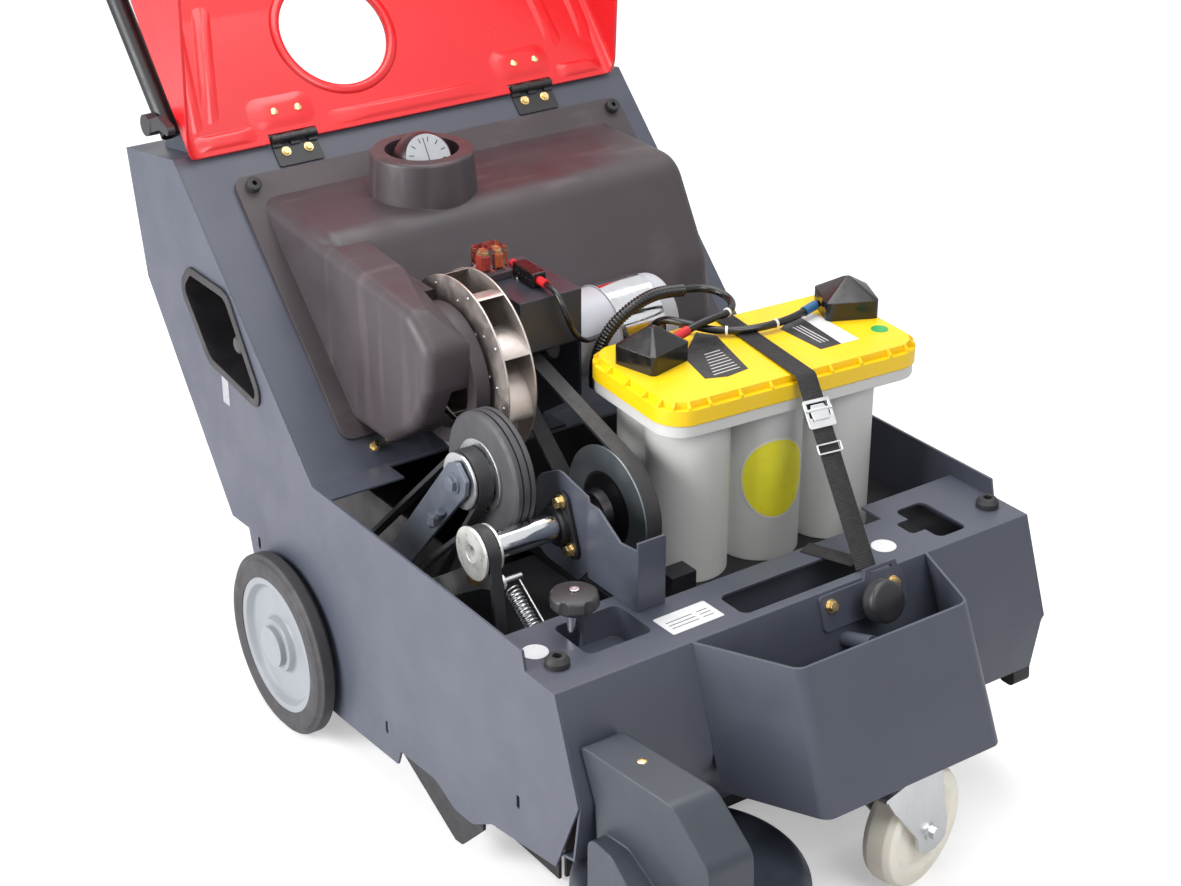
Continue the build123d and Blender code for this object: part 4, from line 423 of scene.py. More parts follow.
def plate(name, corners, place, thick, body, slot, material=None, bevel=0.0):
    """A flat plate: corners (u, v) in millimetres, on a placing matrix whose z is the plate's normal."""
    shape = bmesh.new()
    loft_rings(shape, [[place @ point(u, v, height) for u, v in corners] for height in (0, thick)])
    outward(shape)
    piece = add_shape(name, shape, body, slot, material)
    if bevel:
        soften(piece, bevel, 30.0)
    return piece


def merged(name, pieces, body, slot, material=None):
    """One piece from several meshes already in place."""
    shape = bmesh.new()
    for mesh in pieces:
        shape.from_mesh(mesh)
    return add_shape(name, shape, body, slot, material)


def facing(origin, normal, right=(1, 0, 0)):
    """A placing matrix: z along normal, x near right, origin in millimetres."""
    z = Vector(normal).normalized()
    x = (Vector(right) - z * Vector(right).dot(z)).normalized()
    y = z.cross(x)
    matrix = Matrix((x, y, z)).transposed().to_4x4()
    matrix.translation = point(*origin)
    return matrix


def circle(radius, sides, middle=(0, 0)):
    turn = [2 * math.pi * i / sides for i in range(sides)]
    return [(middle[0] + radius * math.cos(a), middle[1] + radius * math.sin(a)) for a in turn]


def rounded_box(width, height, corner, steps=6):
    corners = []
    for sx, sy, start in ((1, 1, 0), (-1, 1, 90), (-1, -1, 180), (1, -1, 270)):
        for i in range(steps + 1):
            a = math.radians(start + 90 * i / steps)
            x = sx * (width / 2 - corner) + corner * math.cos(a)
            y = sy * (height / 2 - corner) + corner * math.sin(a)
            corners.append((x, y))
    return corners


# The camera stands where the photographer stood.

camera = bpy.data.cameras.new("camera")
camera.lens = 67.65
camera.sensor_width = 36.0
camera.clip_end = 200.0
viewer = placed("camera", camera)
viewer.location = (-1.33703, -2.05387, 1.50186)
viewer.rotation_euler = (math.radians(90 - 26.5017), 0.0, math.radians(-35.1765))
bpy.context.scene.camera = viewer

# Floor, backdrop and lights

WHITE = (1.0, 1.0, 1.0, 1.0)
FLOOR_LIFT = (0.34, 0.9)
FLOOR_FADE = (1.5, 5.0)


def backdrop():
    """A wide pale floor; to the camera it fades to white away from the machine."""
    shape = bmesh.new()
    bmesh.ops.create_circle(shape, cap_ends=True, radius=60.0, segments=96)
    mesh = from_bmesh("floor", shape)
    floor = placed("floor", mesh)
    material, tree, shader, coords = new_material("studio_floor")
    tone = ranged(tree, noise(tree, coords, 1.2, 2.0), 0.0, 1.0, 0.2, 0.8)
    tint = mixed(tree, tone, srgb(240, 239, 242), srgb(246, 246, 247))
    reach = built(tree, "VectorMath", "Value", {0: coords}, operation="LENGTH")
    glow = ranged(tree, reach, *FLOOR_LIFT, *FLOOR_FADE)
    seen = built(tree, "LightPath", "Is Camera Ray")
    lift = built(tree, "Math", "Value", {0: seen, 1: glow}, operation="MULTIPLY")
    fill(tree, shader, {"Base Color": tint, "Roughness": 0.7, "Specular IOR Level": 0.2,
                        "Emission Color": WHITE, "Emission Strength": lift})
    mesh.materials.append(material)


def world_light(strength):
    """An even white light that shows as plain white to the camera and in reflections."""
    world = bpy.data.worlds.new("studio")
    bpy.context.scene.world = world
    world.use_nodes = True
    tree = world.node_tree
    path = tree.nodes.new("ShaderNodeLightPath").outputs
    seen = path["Is Camera Ray"]
    for name in ("Is Glossy Ray", "Is Transmission Ray"):
        seen = built(tree, "Math", "Value", {0: seen, 1: path[name]}, operation="MAXIMUM")
    bright = ranged(tree, seen, strength, 1.0, 0.0, 1.0)
    fill(tree, tree.nodes["Background"], {"Color": WHITE, "Strength": bright})


def softbox(name, place, target, size, power):
    lamp = bpy.data.lights.new(name, "AREA")
    lamp.shape = "RECTANGLE"
    lamp.size, lamp.size_y = size
    lamp.energy = power
    holder = placed(name, lamp)
    holder.location = place
    holder.rotation_euler = (Vector(target) - Vector(place)).to_track_quat("-Z", "Y").to_euler()


bpy.context.scene.view_settings.view_transform = "Standard"
backdrop()
world_light(0.22)
softbox("key", (-3.0, 0.2, 1.3), (0.0, -0.1, 0.4), (1.8, 2.0), 128.0)
softbox("top", (0.2, 0.25, 3.0), (0.0, -0.1, 0.4), (2.4, 2.4), 72.0)
softbox("fill", (-0.2, -2.6, 2.6), (0.0, -0.3, 0.4), (1.6, 1.6), 46.0)

# Rounded copies of the CAD pieces

ROUNDED = {
    "side_panel_right": 0.6, "side_panel_left": 0.6, "top_panel": 0.8, "front_deck": 0.8,
    "front_guard": 0.8, "battery_tray": 0.6, "bearing_bracket": 0.6, "hood": 1.2, "filter_box": 2.0,
    "side_pocket": 0.8, "side_brush_arm": 2.5, "battery_case": 1.0, "battery_lid": 1.6,
    "terminal_covers": 1.6, "drive_cover": 1.2, "drive_tyre": 1.0, "drive_rim": 0.8, "free_tyre": 1.0,
    "free_rim": 0.8, "caster_wheel": 0.6, "caster_fork": 0.6, "friction_tyre": 0.5, "friction_hub": 0.4,
    "belt_pulley": 0.4, "white_pulley": 0.5, "countershaft": 0.4, "motor_body": 0.6, "impeller": 0.3,
    "star_knob": 0.8, "guard_knob": 0.8, "rubber_buffers": 0.4, "handle": 0.4, "hopper": 0.8,
    "clamp_lever": 1.0, "shaker_knob": 0.5, "hinge_leaves": 0.4, "hood_leaves": 0.4, "bolts": 0.3,
    "flange_bearings": 0.6, "friction_arm": 0.5, "drive_bail": 0.3, "rear_axle": 0.4,
    "motor_shaft": 0.4, "tensioner_arm": 0.4, "strap_buckle": 0.4, "skirt_flaps": 0.5,
    "brush_housing": 0.5, "idler_pulley": 0.4, "drive_belt": 0.3, "brush_belt": 0.3,
    "traction_belt": 0.3, "bowden_cable": 0.2,
}
for node, width in ROUNDED.items():
    skin(node, width)


# Battery strap, buckle, leads and the tension spring

STRAP_WIDTH = 0.025
TAIL_WIDTH = 0.0225
STRAP_THICK = 0.0018


def ribbon(name, path, across, width):
    """A flat strap along a path, with a UV map in metres: across, then along."""
    shape = bmesh.new()
    uv = shape.loops.layers.uv.new("UVMap")
    half, edge = width / 2, STRAP_THICK / 2
    section = [(-half, -edge * 0.4), (-half * 0.94, -edge), (half * 0.94, -edge), (half, -edge * 0.4)]
    section += [(half, edge * 0.4), (half * 0.94, edge), (-half * 0.94, edge), (-half, edge * 0.4)]
    rows, reach = [], [0.0]
    for index, here in enumerate(path):
        along = (path[min(index + 1, len(path) - 1)] - path[max(index - 1, 0)]).normalized()
        up = across.cross(along).normalized()
        rows.append([shape.verts.new(here + across * u + up * v) for u, v in section])
        if index:
            reach.append(reach[-1] + (here - path[index - 1]).length)
    for i in range(len(rows) - 1):
        for j in range(8):
            k = (j + 1) % 8
            face = shape.faces.new((rows[i][j], rows[i][k], rows[i + 1][k], rows[i + 1][j]))
            spots = ((j, i), (k, i), (k, i + 1), (j, i + 1))
            for loop, (column, row) in zip(face.loops, spots):
                loop[uv].uv = (section[column][0], reach[row])
    shape.faces.new(rows[0])
    shape.faces.new(list(reversed(rows[-1])))
    outward(shape)
    piece = add_shape(name, shape, "chassis", "webbing", smooth=50.0)
    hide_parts("battery_strap")


STRAP_FOOT = Vector((88.5, -545.0, 0.0))
STRAP_RUN = Vector((0.1424, 0.9898, 0.0))
STRAP_SIDE = STRAP_RUN.cross(Vector((0, 0, 1))).normalized()


def strap_spot(reach, height):
    return (STRAP_FOOT + STRAP_RUN * reach + Vector((0, 0, height))) * MM


def bent(corners, steps=7):
    """Points along straight runs joined by round bends: corners are (reach, height, radius)."""
    line = []
    flat = [Vector(c[:2]) for c in corners]
    for index, corner in enumerate(corners):
        radius = corner[2]
        if not radius:
            line.append(flat[index])
            continue
        back = (flat[index - 1] - flat[index]).normalized()
        ahead = (flat[index + 1] - flat[index]).normalized()
        half = math.acos(max(-1.0, min(1.0, back.dot(ahead)))) / 2
        start = flat[index] + back * (radius / math.tan(half))
        stop = flat[index] + ahead * (radius / math.tan(half))
        for i in range(steps + 1):
            t = i / steps
            line.append(start * (1 - t) ** 2 + flat[index] * (2 * t * (1 - t)) + stop * t ** 2)
    return line


def spread_out(line, spacing):
    """Extra points on long straight runs."""
    points = [line[0]]
    for a, b in zip(line, line[1:]):
        count = max(1, int((b - a).length / spacing))
        points += [a.lerp(b, i / count) for i in range(1, count + 1)]
    return points


LID_TOP = 496.0
STRAP_BASE = 325.5
STRAP_START = 5
STRAP_RISE = 135.0
strap_line = bent([(4.4, 326.2, 0), (139.6, 498.4, 9), (328.9, 497.4, 5), (330.5, 264.6, 0)])
strap_path = [strap_spot(s, z) for s, z in spread_out(strap_line, 6.0)]
ribbon("battery_strap_webbing", strap_path, STRAP_SIDE, STRAP_WIDTH)
tail_path = [point(91.0 - 24.0 * i / 8, -523.0 + 57.0 * i / 8, 325.0) for i in range(9)]
tail_side = (tail_path[-1] - tail_path[0]).normalized().cross(Vector((0, 0, 1)))
ribbon("battery_strap_tail", tail_path, tail_side, TAIL_WIDTH)


def buckle_details():
    """The cam lever and the keeper loop of the strap's buckle."""
    run = (STRAP_RUN * STRAP_RISE + Vector((0, 0, LID_TOP - STRAP_BASE))).normalized()
    out = STRAP_SIDE.cross(run)
    foot = STRAP_FOOT + STRAP_RUN * STRAP_START + Vector((0, 0, STRAP_BASE))
    full = (LID_TOP - STRAP_BASE) / run.z

    def seat(share, lift):
        spot = foot + run * full * share + out * lift
        matrix = Matrix((STRAP_SIDE, run, out)).transposed().to_4x4()
        matrix.translation = spot * MM
        return matrix

    lever = [(-10, -8), (10, -8), (11, 2), (8, 10), (-8, 10), (-11, 2)]
    place = seat(0.8, 5.5) @ Matrix.Rotation(math.radians(-9), 4, "X")
    plate("buckle_lever", lever, place, 1.6, "chassis", "zinc", bevel=0.5)
    axle = seat(0.8, 4.2)
    tube("buckle_pin", [axle @ point(x, 4, 1.2) for x in (-16.5, 0, 16.5)], 2.0 * MM, 12, "chassis", "zinc")
    loop = seat(0.62, 2.4)
    corners = ((-14.5, -5), (14.5, -5), (14.5, 5), (-14.5, 5), (-14.5, -5))
    ring = [loop @ point(*corner, 1.6) for corner in corners]
    for index, (near, far) in enumerate(zip(ring, ring[1:])):
        wire = [near, near.lerp(far, 0.5), far]
        tube(f"buckle_loop_{index}", wire, 1.1 * MM, 10, "chassis", "zinc")


buckle_details()

LEADS = (
    ((232, -281, 508), (205, -288, 506), (175, -293, 505), (145, -293, 505), (115, -283, 503.5),
     (90, -263, 503.5), (72, -238, 508), (60, -214, 508), (52, -199, 494), (48, -194, 470), (46, -193, 445)),
    ((26.3, -271.55, 510.1), (46, -264, 509), (70, -260, 513), (97, -260, 516), (120.5, -260, 517),
     (138, -242.5, 520), (138, -217.5, 524), (120.5, -200, 527), (98, -200, 529)),
)
FUSE_LEAD = ((-68.55, -169.87, 565), (-69.63, -187.84, 565), (-70, -203, 553.5), (-65, -208, 532),
             (-52, -203, 511), (-32, -191, 495.5), (-16, -182, 490), (0, -174.5, 487))
CONDUIT = ((98, -200, 529), (70, -203, 535), (42, -207, 536), (16, -206, 526), (-4, -201, 508),
           (-15, -195, 484), (-18, -190, 458), (-16, -189, 434))
LEAD_STEP = 0.003
LEAD_RADIUS = 4.5
SLEEVE_RADIUS = 5.7
TIE_RADIUS = 5.4
TIE_WIDTH = 0.0061
FUSE_LEAD_RADIUS = 3.2
CONDUIT_RADIUS = 7.5
RIB_HEIGHT = 1.2
RIB_PITCH = 0.004
RIB_STEPS = 5
HEAT_SHRINK = surface("heat_shrink", srgb(205, 34, 40), 0.35, spread=0.1, mottle=60.0)
TIE_WHITE = surface("tie_white", srgb(232, 232, 228), 0.4, spread=0.05, mottle=60.0)
SLEEVE_BLUE = surface("sleeve_blue", srgb(40, 96, 140), 0.35, spread=0.1, mottle=60.0)


def laid(node):
    """Hides the CAD node of a cord that runs from one piece of the machine to another; the cord is drawn as a
    tube instead.
    """
    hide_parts(node)


def between(path, low, high):
    """The part of a path between two distances from its start."""
    reach, part = 0.0, []
    for before, here in zip([path[0], *path], path):
        reach += (here - before).length
        if low <= reach <= high:
            part.append(here)
    return part


def leads():
    paths = [spline_points(route, LEAD_STEP) for route in LEADS]
    sleeves = (("lead_sleeve_blue", 0.006, 0.03, SLEEVE_BLUE), ("lead_sleeve_red", 0.0, 0.036, HEAT_SHRINK))
    ties = (((0.07, "a"), (0.13, "b")), ((0.09, "c"),))
    for index, path in enumerate(paths):
        lead = tube(f"battery_lead_{index}", path, LEAD_RADIUS * MM, 16, "chassis", "black_gloss")
        name, low, high, look = sleeves[index]
        wear_and_highlight = [tube(name, between(path, low, high), SLEEVE_RADIUS * MM, 16, "chassis", "black_gloss", look)]
        for reach, letter in ties[index]:
            band = between(path, reach, reach + TIE_WIDTH)
            wear_and_highlight.append(tube("cable_tie_" + letter, band, TIE_RADIUS * MM, 16, "chassis", "white_plastic",
                             TIE_WHITE))
        laid("battery_leads")
    path = spline_points(FUSE_LEAD, LEAD_STEP)
    lead = tube("fuse_lead", path, FUSE_LEAD_RADIUS * MM, 16, "chassis", "black_gloss")
    laid("battery_leads")
    path = spline_points(CONDUIT, RIB_PITCH / RIB_STEPS)
    radii = []
    for index in range(len(path)):
        wave = 0.5 - 0.5 * math.cos(2 * math.pi * index / RIB_STEPS)
        radii.append((CONDUIT_RADIUS - RIB_HEIGHT + RIB_HEIGHT * min(1.0, 1.5 * wave)) * MM)
    conduit = tube("ribbed_conduit", path, radii, 20, "chassis", "black_plastic", LOOKS["black_gloss"])
    laid("cable_conduit")


leads()


def spring():
    top, bottom = Vector((-238.0, -350.0, 319.5)), Vector((-238.0, -404.5, 284.0))
    along = (bottom - top).normalized()
    across = Vector((1, 0, 0))
    third = along.cross(across)
    turns, steps, radius = 14, 20, 7.3
    path = []
    for i in range(turns * steps + 1):
        reach = (bottom - top).length * i / (turns * steps)
        path.append((top + along * reach + spoke(across, third, 2 * math.pi * i / steps) * radius) * MM)
    coil = tube("spring_coil", path, 1.1 * MM, 10, "chassis", "zinc")
    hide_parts("tension_spring")


spring()

# Relays and the fuse holder on the drive cover

COVER_TOP = 556.0
RELAYS = ((-110.0, srgb(150, 50, 42)), (-93.0, srgb(166, 84, 44)))


def clear_cover():
    material, tree, shader, coords = new_material("relay_clear_cover")
    haze = ranged(tree, noise(tree, coords, 80.0), 0.02, 0.14)
    fill(tree, shader, {"Base Color": (1.0, 0.93, 0.91, 1.0), "Transmission Weight": 1.0, "IOR": 1.3,
                        "Roughness": haze})
    return material


def box_plate(name, x, y, height, slot, material=None, bevel=1.0):
    """A block on the drive cover: spans along x and y, and in height above the cover."""
    corners = [(x[0], y[0]), (x[1], y[0]), (x[1], y[1]), (x[0], y[1])]
    place = facing((0, 0, COVER_TOP + height[0]), (0, 0, 1))
    return plate(name, corners, place, height[1] - height[0], "chassis", slot, material, bevel)


def relays():
    base = box_plate("relay_base", (-111, -76), (-112, -72), (0, 9), "black_plastic")
    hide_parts("relay_fuses")
    clear = clear_cover()
    for index, (x, tint) in enumerate(RELAYS):
        box_plate(f"relay_cover_{index}", (x, x + 16), (-106, -80), (9, 36), "relay_clear", clear)
        core = surface(f"relay_core_{index}", tint, 0.4, spread=0.25, mottle=120.0)
        box_plate(f"relay_core_{index}", (x + 3.5, x + 12.5), (-100, -86), (10, 27), "relay_clear", core)
        box_plate(f"relay_coil_{index}", (x + 5, x + 11), (-97, -89), (27, 31), "yellow_zinc", bevel=0.4)
    screw = ((0.1, 0), (4.2, 0), (4.2, 1.6), (2.6, 3.2), (0.1, 3.4))
    lathe("relay_screw", screw, (-72, -120, COVER_TOP + 0.2), (0, 0, 1), 20, "chassis", "zinc")


def fuse_holder():
    """An inline holder with a red sleeve at each end and ribs across its top."""
    way = Vector((-0.06, -1.0, 0.0)).normalized()
    start = Vector((-64.0, -94.0, COVER_TOP + 9.0))
    for index, low in enumerate((0, 60)):
        path = [(start + way * (low + 4 * i)) * MM for i in range(5)]
        tube(f"fuse_sleeve_{index}", path, 5.0 * MM, 18, "chassis", "black_gloss", HEAT_SHRINK)
    place = facing(start + way * 38, (0, 0, 1), (-way.y, way.x, 0))
    body = [(-9, -23), (9, -23), (9, 23), (-9, 23)]
    sunk = place @ Matrix.Translation(point(0, 0, -9))
    plate("fuse_holder", body, sunk, 18, "chassis", "black_gloss", bevel=2.0)
    sunk = place @ Matrix.Translation(point(0, 0, -8))
    for index in range(5):
        low = -18 + 8 * index
        rib = [(-9.8, low), (9.8, low), (9.8, low + 4), (-9.8, low + 4)]
        plate(f"fuse_rib_{index}", rib, sunk, 9, "chassis", "black_plastic", LOOKS["black_gloss"], bevel=0.8)


relays()
fuse_holder()

# Motor band, its screws and the impeller's rivets

MOTOR_AXIS = (-123.0, 470.0)
MOTOR_SCREW_RING = 34
IMPELLER_FACES = ((-160.0, -1), (-123.0, 1))
IMPELLER_RIVETS = ((71, 7.5), (84, 14.8), (98, 27.0))
IMPELLER_BLADES = 9


def round_motor(x, radius, degrees):
    """A place at a radius from the motor's axis."""
    turn = math.radians(degrees)
    return (x, MOTOR_AXIS[0] + radius * math.cos(turn), MOTOR_AXIS[1] + radius * math.sin(turn))


def motor_details():
    band = ((51.6, 63), (52.25, 63), (52.25, 125), (51.6, 125))
    lathe("motor_band", band, (-30.0, *MOTOR_AXIS), (1, 0, 0), 72, "chassis", "chrome")
    screw = ((0.1, -0.5), (4, -0.5), (4, 1.6), (2.4, 3), (0.1, 3))
    for index in range(3):
        spot = round_motor(120.0, MOTOR_SCREW_RING, 40 + 120 * index)
        lathe(f"motor_screw_{index}", screw, spot, (1, 0, 0), 16, "chassis", "zinc")


def dome(radius, height, spot, axis, sides=10):
    """A small round head as a bare mesh."""
    axis = Vector(axis).normalized()
    across, up = ring_frame(axis)
    shape = bmesh.new()
    rings = []
    for share in (0.0, 0.35, 0.7, 0.95):
        out = radius * math.cos(share * math.pi / 2) * MM
        lift = height * math.sin(share * math.pi / 2) * MM
        rings.append(round_ring(point(*spot) + axis * lift, across, up, out, sides))
    loft_rings(shape, rings)
    outward(shape)
    return from_bmesh("head", shape)


def impeller_rivets():
    heads = []
    for blade in range(IMPELLER_BLADES):
        for radius, sweep in IMPELLER_RIVETS:
            for x, way in IMPELLER_FACES:
                spot = round_motor(x, radius, 360 / IMPELLER_BLADES * blade + sweep)
                heads.append(dome(2.1, 1.2, spot, (way, 0, 0)))
    merged("impeller_rivets", heads, "rotor", "impeller_metal", LOOKS["zinc"])


motor_details()
impeller_rivets()

# Hood: hole lip, hinge pads and rivets, rim and ridges, placed on the closed hood and swung open

HOOD_INNER_Z = 647.0
HINGE = point(0.0, 225.0, HOOD_INNER_Z)
HOOD_TURN = Matrix.Rotation(math.radians(-130.0), 4, "X")
SWUNG = Matrix.Translation(HINGE) @ HOOD_TURN @ Matrix.Translation(-HINGE)
HOOD_HOLE = (-62.0, 105.0)


def swing(x, y, z):
    """A place on the open hood, from its place on the closed one."""
    return SWUNG @ point(x, y, z) / MM


def turn_towards(shape, way):
    """Turns the faces of an open surface to one side."""
    outward(shape)
    if sum((face.normal * face.calc_area() for face in shape.faces), Vector()).dot(way) < 0:
        bmesh.ops.reverse_faces(shape, faces=shape.faces[:])


def swell(name, corners, place, height):
    """A smooth raised form on the hood: its foot is the outline of corners, in millimetres."""
    shape = bmesh.new()
    rings = []
    for share in (0.0, 0.08, 0.18, 0.3, 0.42, 0.56, 0.72, 0.88):
        rise = height * (0.5 - 0.5 * math.cos(min(1.0, share / 0.56) * math.pi))
        rings.append([place @ point(u * (1 - share), v * (1 - share), rise - 0.2) for u, v in corners])
    rows = loft_rings(shape, rings, closed_ends=False)
    shape.faces.new(rows[-1])
    turn_towards(shape, place.to_3x3() @ Vector((0, 0, 1)))
    add_shape(name, shape, "hood", "hood_red", smooth=70.0)


HINGE_RIVETS = (-163.0, 179.5)
RIVET_Y = 191.5
PAD_HEIGHT = 3.0
RIM_RUNS = ((-294, -206), (-124, 138), (218, 294))
RIM_Y = 213.5
RIM_HEIGHT = 3.2
HOOD_RIDGES = (
    ((-286, 206), (-256, 30)),
    ((-264, 198), (-214, 24)),
    ((235.6, 186), (226, 20)),
    ((286, 190), (285, 30)),
)
RIDGE_HEIGHT = 3.0


def hood_details():
    down = SWUNG.to_3x3() @ Vector((0, 0, -1))
    side = SWUNG.to_3x3() @ Vector((1, 0, 0))
    lip = ((70.0, -1.0), (72.0, 2.6), (76.0, 3.2), (80.0, 2.2), (83.0, 0.0), (83.0, -1.0))
    lathe("hood_hole_lip", lip, swing(*HOOD_HOLE, HOOD_INNER_Z), down, 96, "hood", "hood_red", smooth=60.0)
    heads = []
    for index, centre in enumerate(HINGE_RIVETS):
        place = facing(swing(centre - 6, RIVET_Y, HOOD_INNER_Z), down, side)
        swell(f"hinge_pad_{index}", rounded_box(96, 46, 18), place, PAD_HEIGHT)
        for shift in (-16.0, 16.0):
            spot = swing(centre + shift, RIVET_Y, HOOD_INNER_Z - PAD_HEIGHT + 0.4)
            heads.append(dome(5.2, 2.4, spot, down, 20))
    merged("hood_rivets", heads, "hood", "yellow_zinc")
    for index, (low, high) in enumerate(RIM_RUNS):
        place = facing(swing((low + high) / 2, RIM_Y, HOOD_INNER_Z), down, side)
        swell(f"hood_rim_{index}", rounded_box(high - low, 22, 9), place, RIM_HEIGHT)
    for index, (foot, head) in enumerate(HOOD_RIDGES):
        middle = [(a + b) / 2 for a, b in zip(foot, head)]
        run = SWUNG.to_3x3() @ Vector((head[0] - foot[0], head[1] - foot[1], 0.0))
        place = facing(swing(*middle, HOOD_INNER_Z), down, run)
        swell(f"hood_ridge_{index}", rounded_box(math.dist(foot, head), 26, 13), place, RIDGE_HEIGHT)


hood_details()

# Battery lid and case: blank labels

BATTERY = Matrix.Translation(point(115.6, -312.0, 264.0)) @ Matrix.Rotation(math.radians(-4.0), 4, "Z")
LID_HEIGHT = 232.05
CELL_RADIUS = 47.0
LABEL_HALF = (41, 50)
LABEL_TURN = 0.19


def bar(place, middle, size, turn):
    """A thin printed bar on a label, as a bare mesh."""
    turned = place @ Matrix.Translation(point(*middle, 0.25)) @ Matrix.Rotation(math.radians(turn), 4, "Z")
    shape = bmesh.new()
    long, wide = size[0] / 2, size[1] / 2
    ring = ((-long, -wide), (long, -wide), (long, wide), (-long, wide))
    loft_rings(shape, [[turned @ point(u, v, z) for u, v in ring] for z in (-0.05, 0.08)])
    outward(shape)
    return from_bmesh("bar", shape)


def case_label(name, shrink, lift, look):
    """An oval patch wrapped round the middle cell of the battery's front."""
    cell = BATTERY @ Matrix.Translation(point(-10.0, -29.0, 104.0))
    out = CELL_RADIUS + lift
    shape = bmesh.new()
    rings = []
    for share in (0.02, 0.15, 0.32, 0.5, 0.68, 0.84, 1.0):
        ring = []
        for u, v in circle(share * shrink, 40):
            turn = u * LABEL_HALF[0] / CELL_RADIUS - LABEL_TURN
            ring.append(cell @ point(out * math.sin(turn), -out * math.cos(turn), v * LABEL_HALF[1]))
        rings.append(ring)
    rows = loft_rings(shape, rings, closed_ends=False)
    shape.faces.new(rows[0])
    turn_towards(shape, cell.to_3x3() @ Vector((0, -1, 0)))
    add_shape(name, shape, "chassis", "lid_yellow", look)


def lid_details():
    top = BATTERY @ Matrix.Translation(point(0, 0, LID_HEIGHT))
    black = surface("label_black", srgb(34, 34, 36), 0.4, spread=0.15, mottle=40.0)
    white = surface("label_white", srgb(228, 228, 226), 0.4, spread=0.04, mottle=40.0)
    green = surface("label_green", srgb(38, 160, 78), 0.4, spread=0.06, mottle=40.0)
    left = [(-86.1, 14.8), (-36.6, 64.7), (-22.2, 44.8), (-42.4, -46.6), (-73.1, -52.2), (-97.4, -44.2)]
    plate("lid_label_left", left, top, 0.25, "chassis", "black_gloss", black)
    right = [(90.4, 48.7), (84.6, -45.4), (55.9, -46.1), (50.1, 23.5)]
    plate("lid_label_right", right, top, 0.25, "chassis", "black_gloss", black)
    pale = [(90.4, 48.7), (110.6, 37.1), (109.5, -45.9), (84.6, -45.4)]
    plate("lid_label_white", pale, top, 0.25, "chassis", "white_plastic", white)
    lines = [bar(top, (-66 + 2 * i, -40 + 7 * i), (36 - 2 * i, 1.5), 4.0) for i in range(8)]
    lines += [bar(top, (66 + 5 * i, -6), (52, 1.4), 92.0) for i in range(3)]
    merged("lid_label_lines", lines, "chassis", "white_plastic", white)
    plate("lid_dot", circle(10, 28, (146.5, -34.9)), top, 0.3, "chassis", "white_plastic", green)
    oval = surface("label_yellow", srgb(252, 240, 60), 0.35, spread=0.08, mottle=26.0, rounding=0.0)
    case_label("case_label_rim", 1.0, 0.8, white)
    case_label("case_label", 0.95, 1.0, oval)


lid_details()

# Blank plates and stickers on the paintwork

DECK_TOP = 324.05


def stickers():
    white = surface("plate_white", srgb(216, 218, 220), 0.35, spread=0.05, mottle=40.0)
    grey = surface("print_grey", srgb(92, 92, 96), 0.4, spread=0.1, mottle=60.0)
    place = facing((-125.5, -510.0, DECK_TOP), (0, 0, 1), (1, 0.02, 0))
    plate("rating_plate", rounded_box(67, 36, 2), place, 0.3, "chassis", "white_plastic", white)
    lines = [bar(place, (-10, 4 - 6 * i), (34, 1.3), 0.0) for i in range(3)]
    lines += [bar(place, (20, 4 - 6 * i), (14, 1.3), 0.0) for i in range(3)]
    merged("rating_plate_lines", lines, "chassis", "white_plastic", grey)
    for index, (x, y) in enumerate(((-291.5, -474.0), (140.0, -512.0))):
        place = facing((x, y, DECK_TOP), (0, 0, 1))
        plate(f"round_label_{index}", circle(14, 36), place, 0.3, "chassis", "white_plastic", white)
    clear = surface("label_clear", srgb(150, 150, 156), 0.3, spread=0.05, mottle=40.0)
    side = facing((-320.05, 137.7, 385.3), (-1, 0, 0), (0, -1, 0))
    plate("panel_label", rounded_box(17, 34, 1.5), side, 0.25, "chassis", "white_plastic", clear)


stickers()

# Brushes

def strands(name, roots_and_tips, radius, droop, body):
    """Fine three-sided filaments, each bent a little under its weight."""
    verts, faces = [], []
    for root, tip in roots_and_tips:
        across, up = ring_frame(tip - root)
        base = len(verts)
        for share, size in ((0.0, 1.0), (0.35, 1.0), (0.7, 0.95), (1.0, 0.75)):
            here = root.lerp(tip, share) + Vector((0, 0, droop * math.sin(share * math.pi)))
            verts += round_ring(here, across, up, radius * size, 3)
        for row in range(3):
            for i in range(3):
                a, b = base + row * 3 + i, base + row * 3 + (i + 1) % 3
                faces.append((a, b, b + 3, a + 3))
        faces.append((base + 11, base + 10, base + 9))
    mesh = bpy.data.meshes.new(name)
    mesh.from_pydata(verts, [], faces)
    mesh.validate()
    return add_piece(name, mesh, body, "bristle")


SIDE_AXIS = point(-203.0, -622.0, 0.0)
SIDE_TUFTS = ((40, 66.0, 148.0), (32, 48.0, 108.0))
TUFT_STRANDS = 46
TILT = Matrix.Translation(SIDE_AXIS) @ Matrix.Rotation(math.radians(3.0), 4, "X")


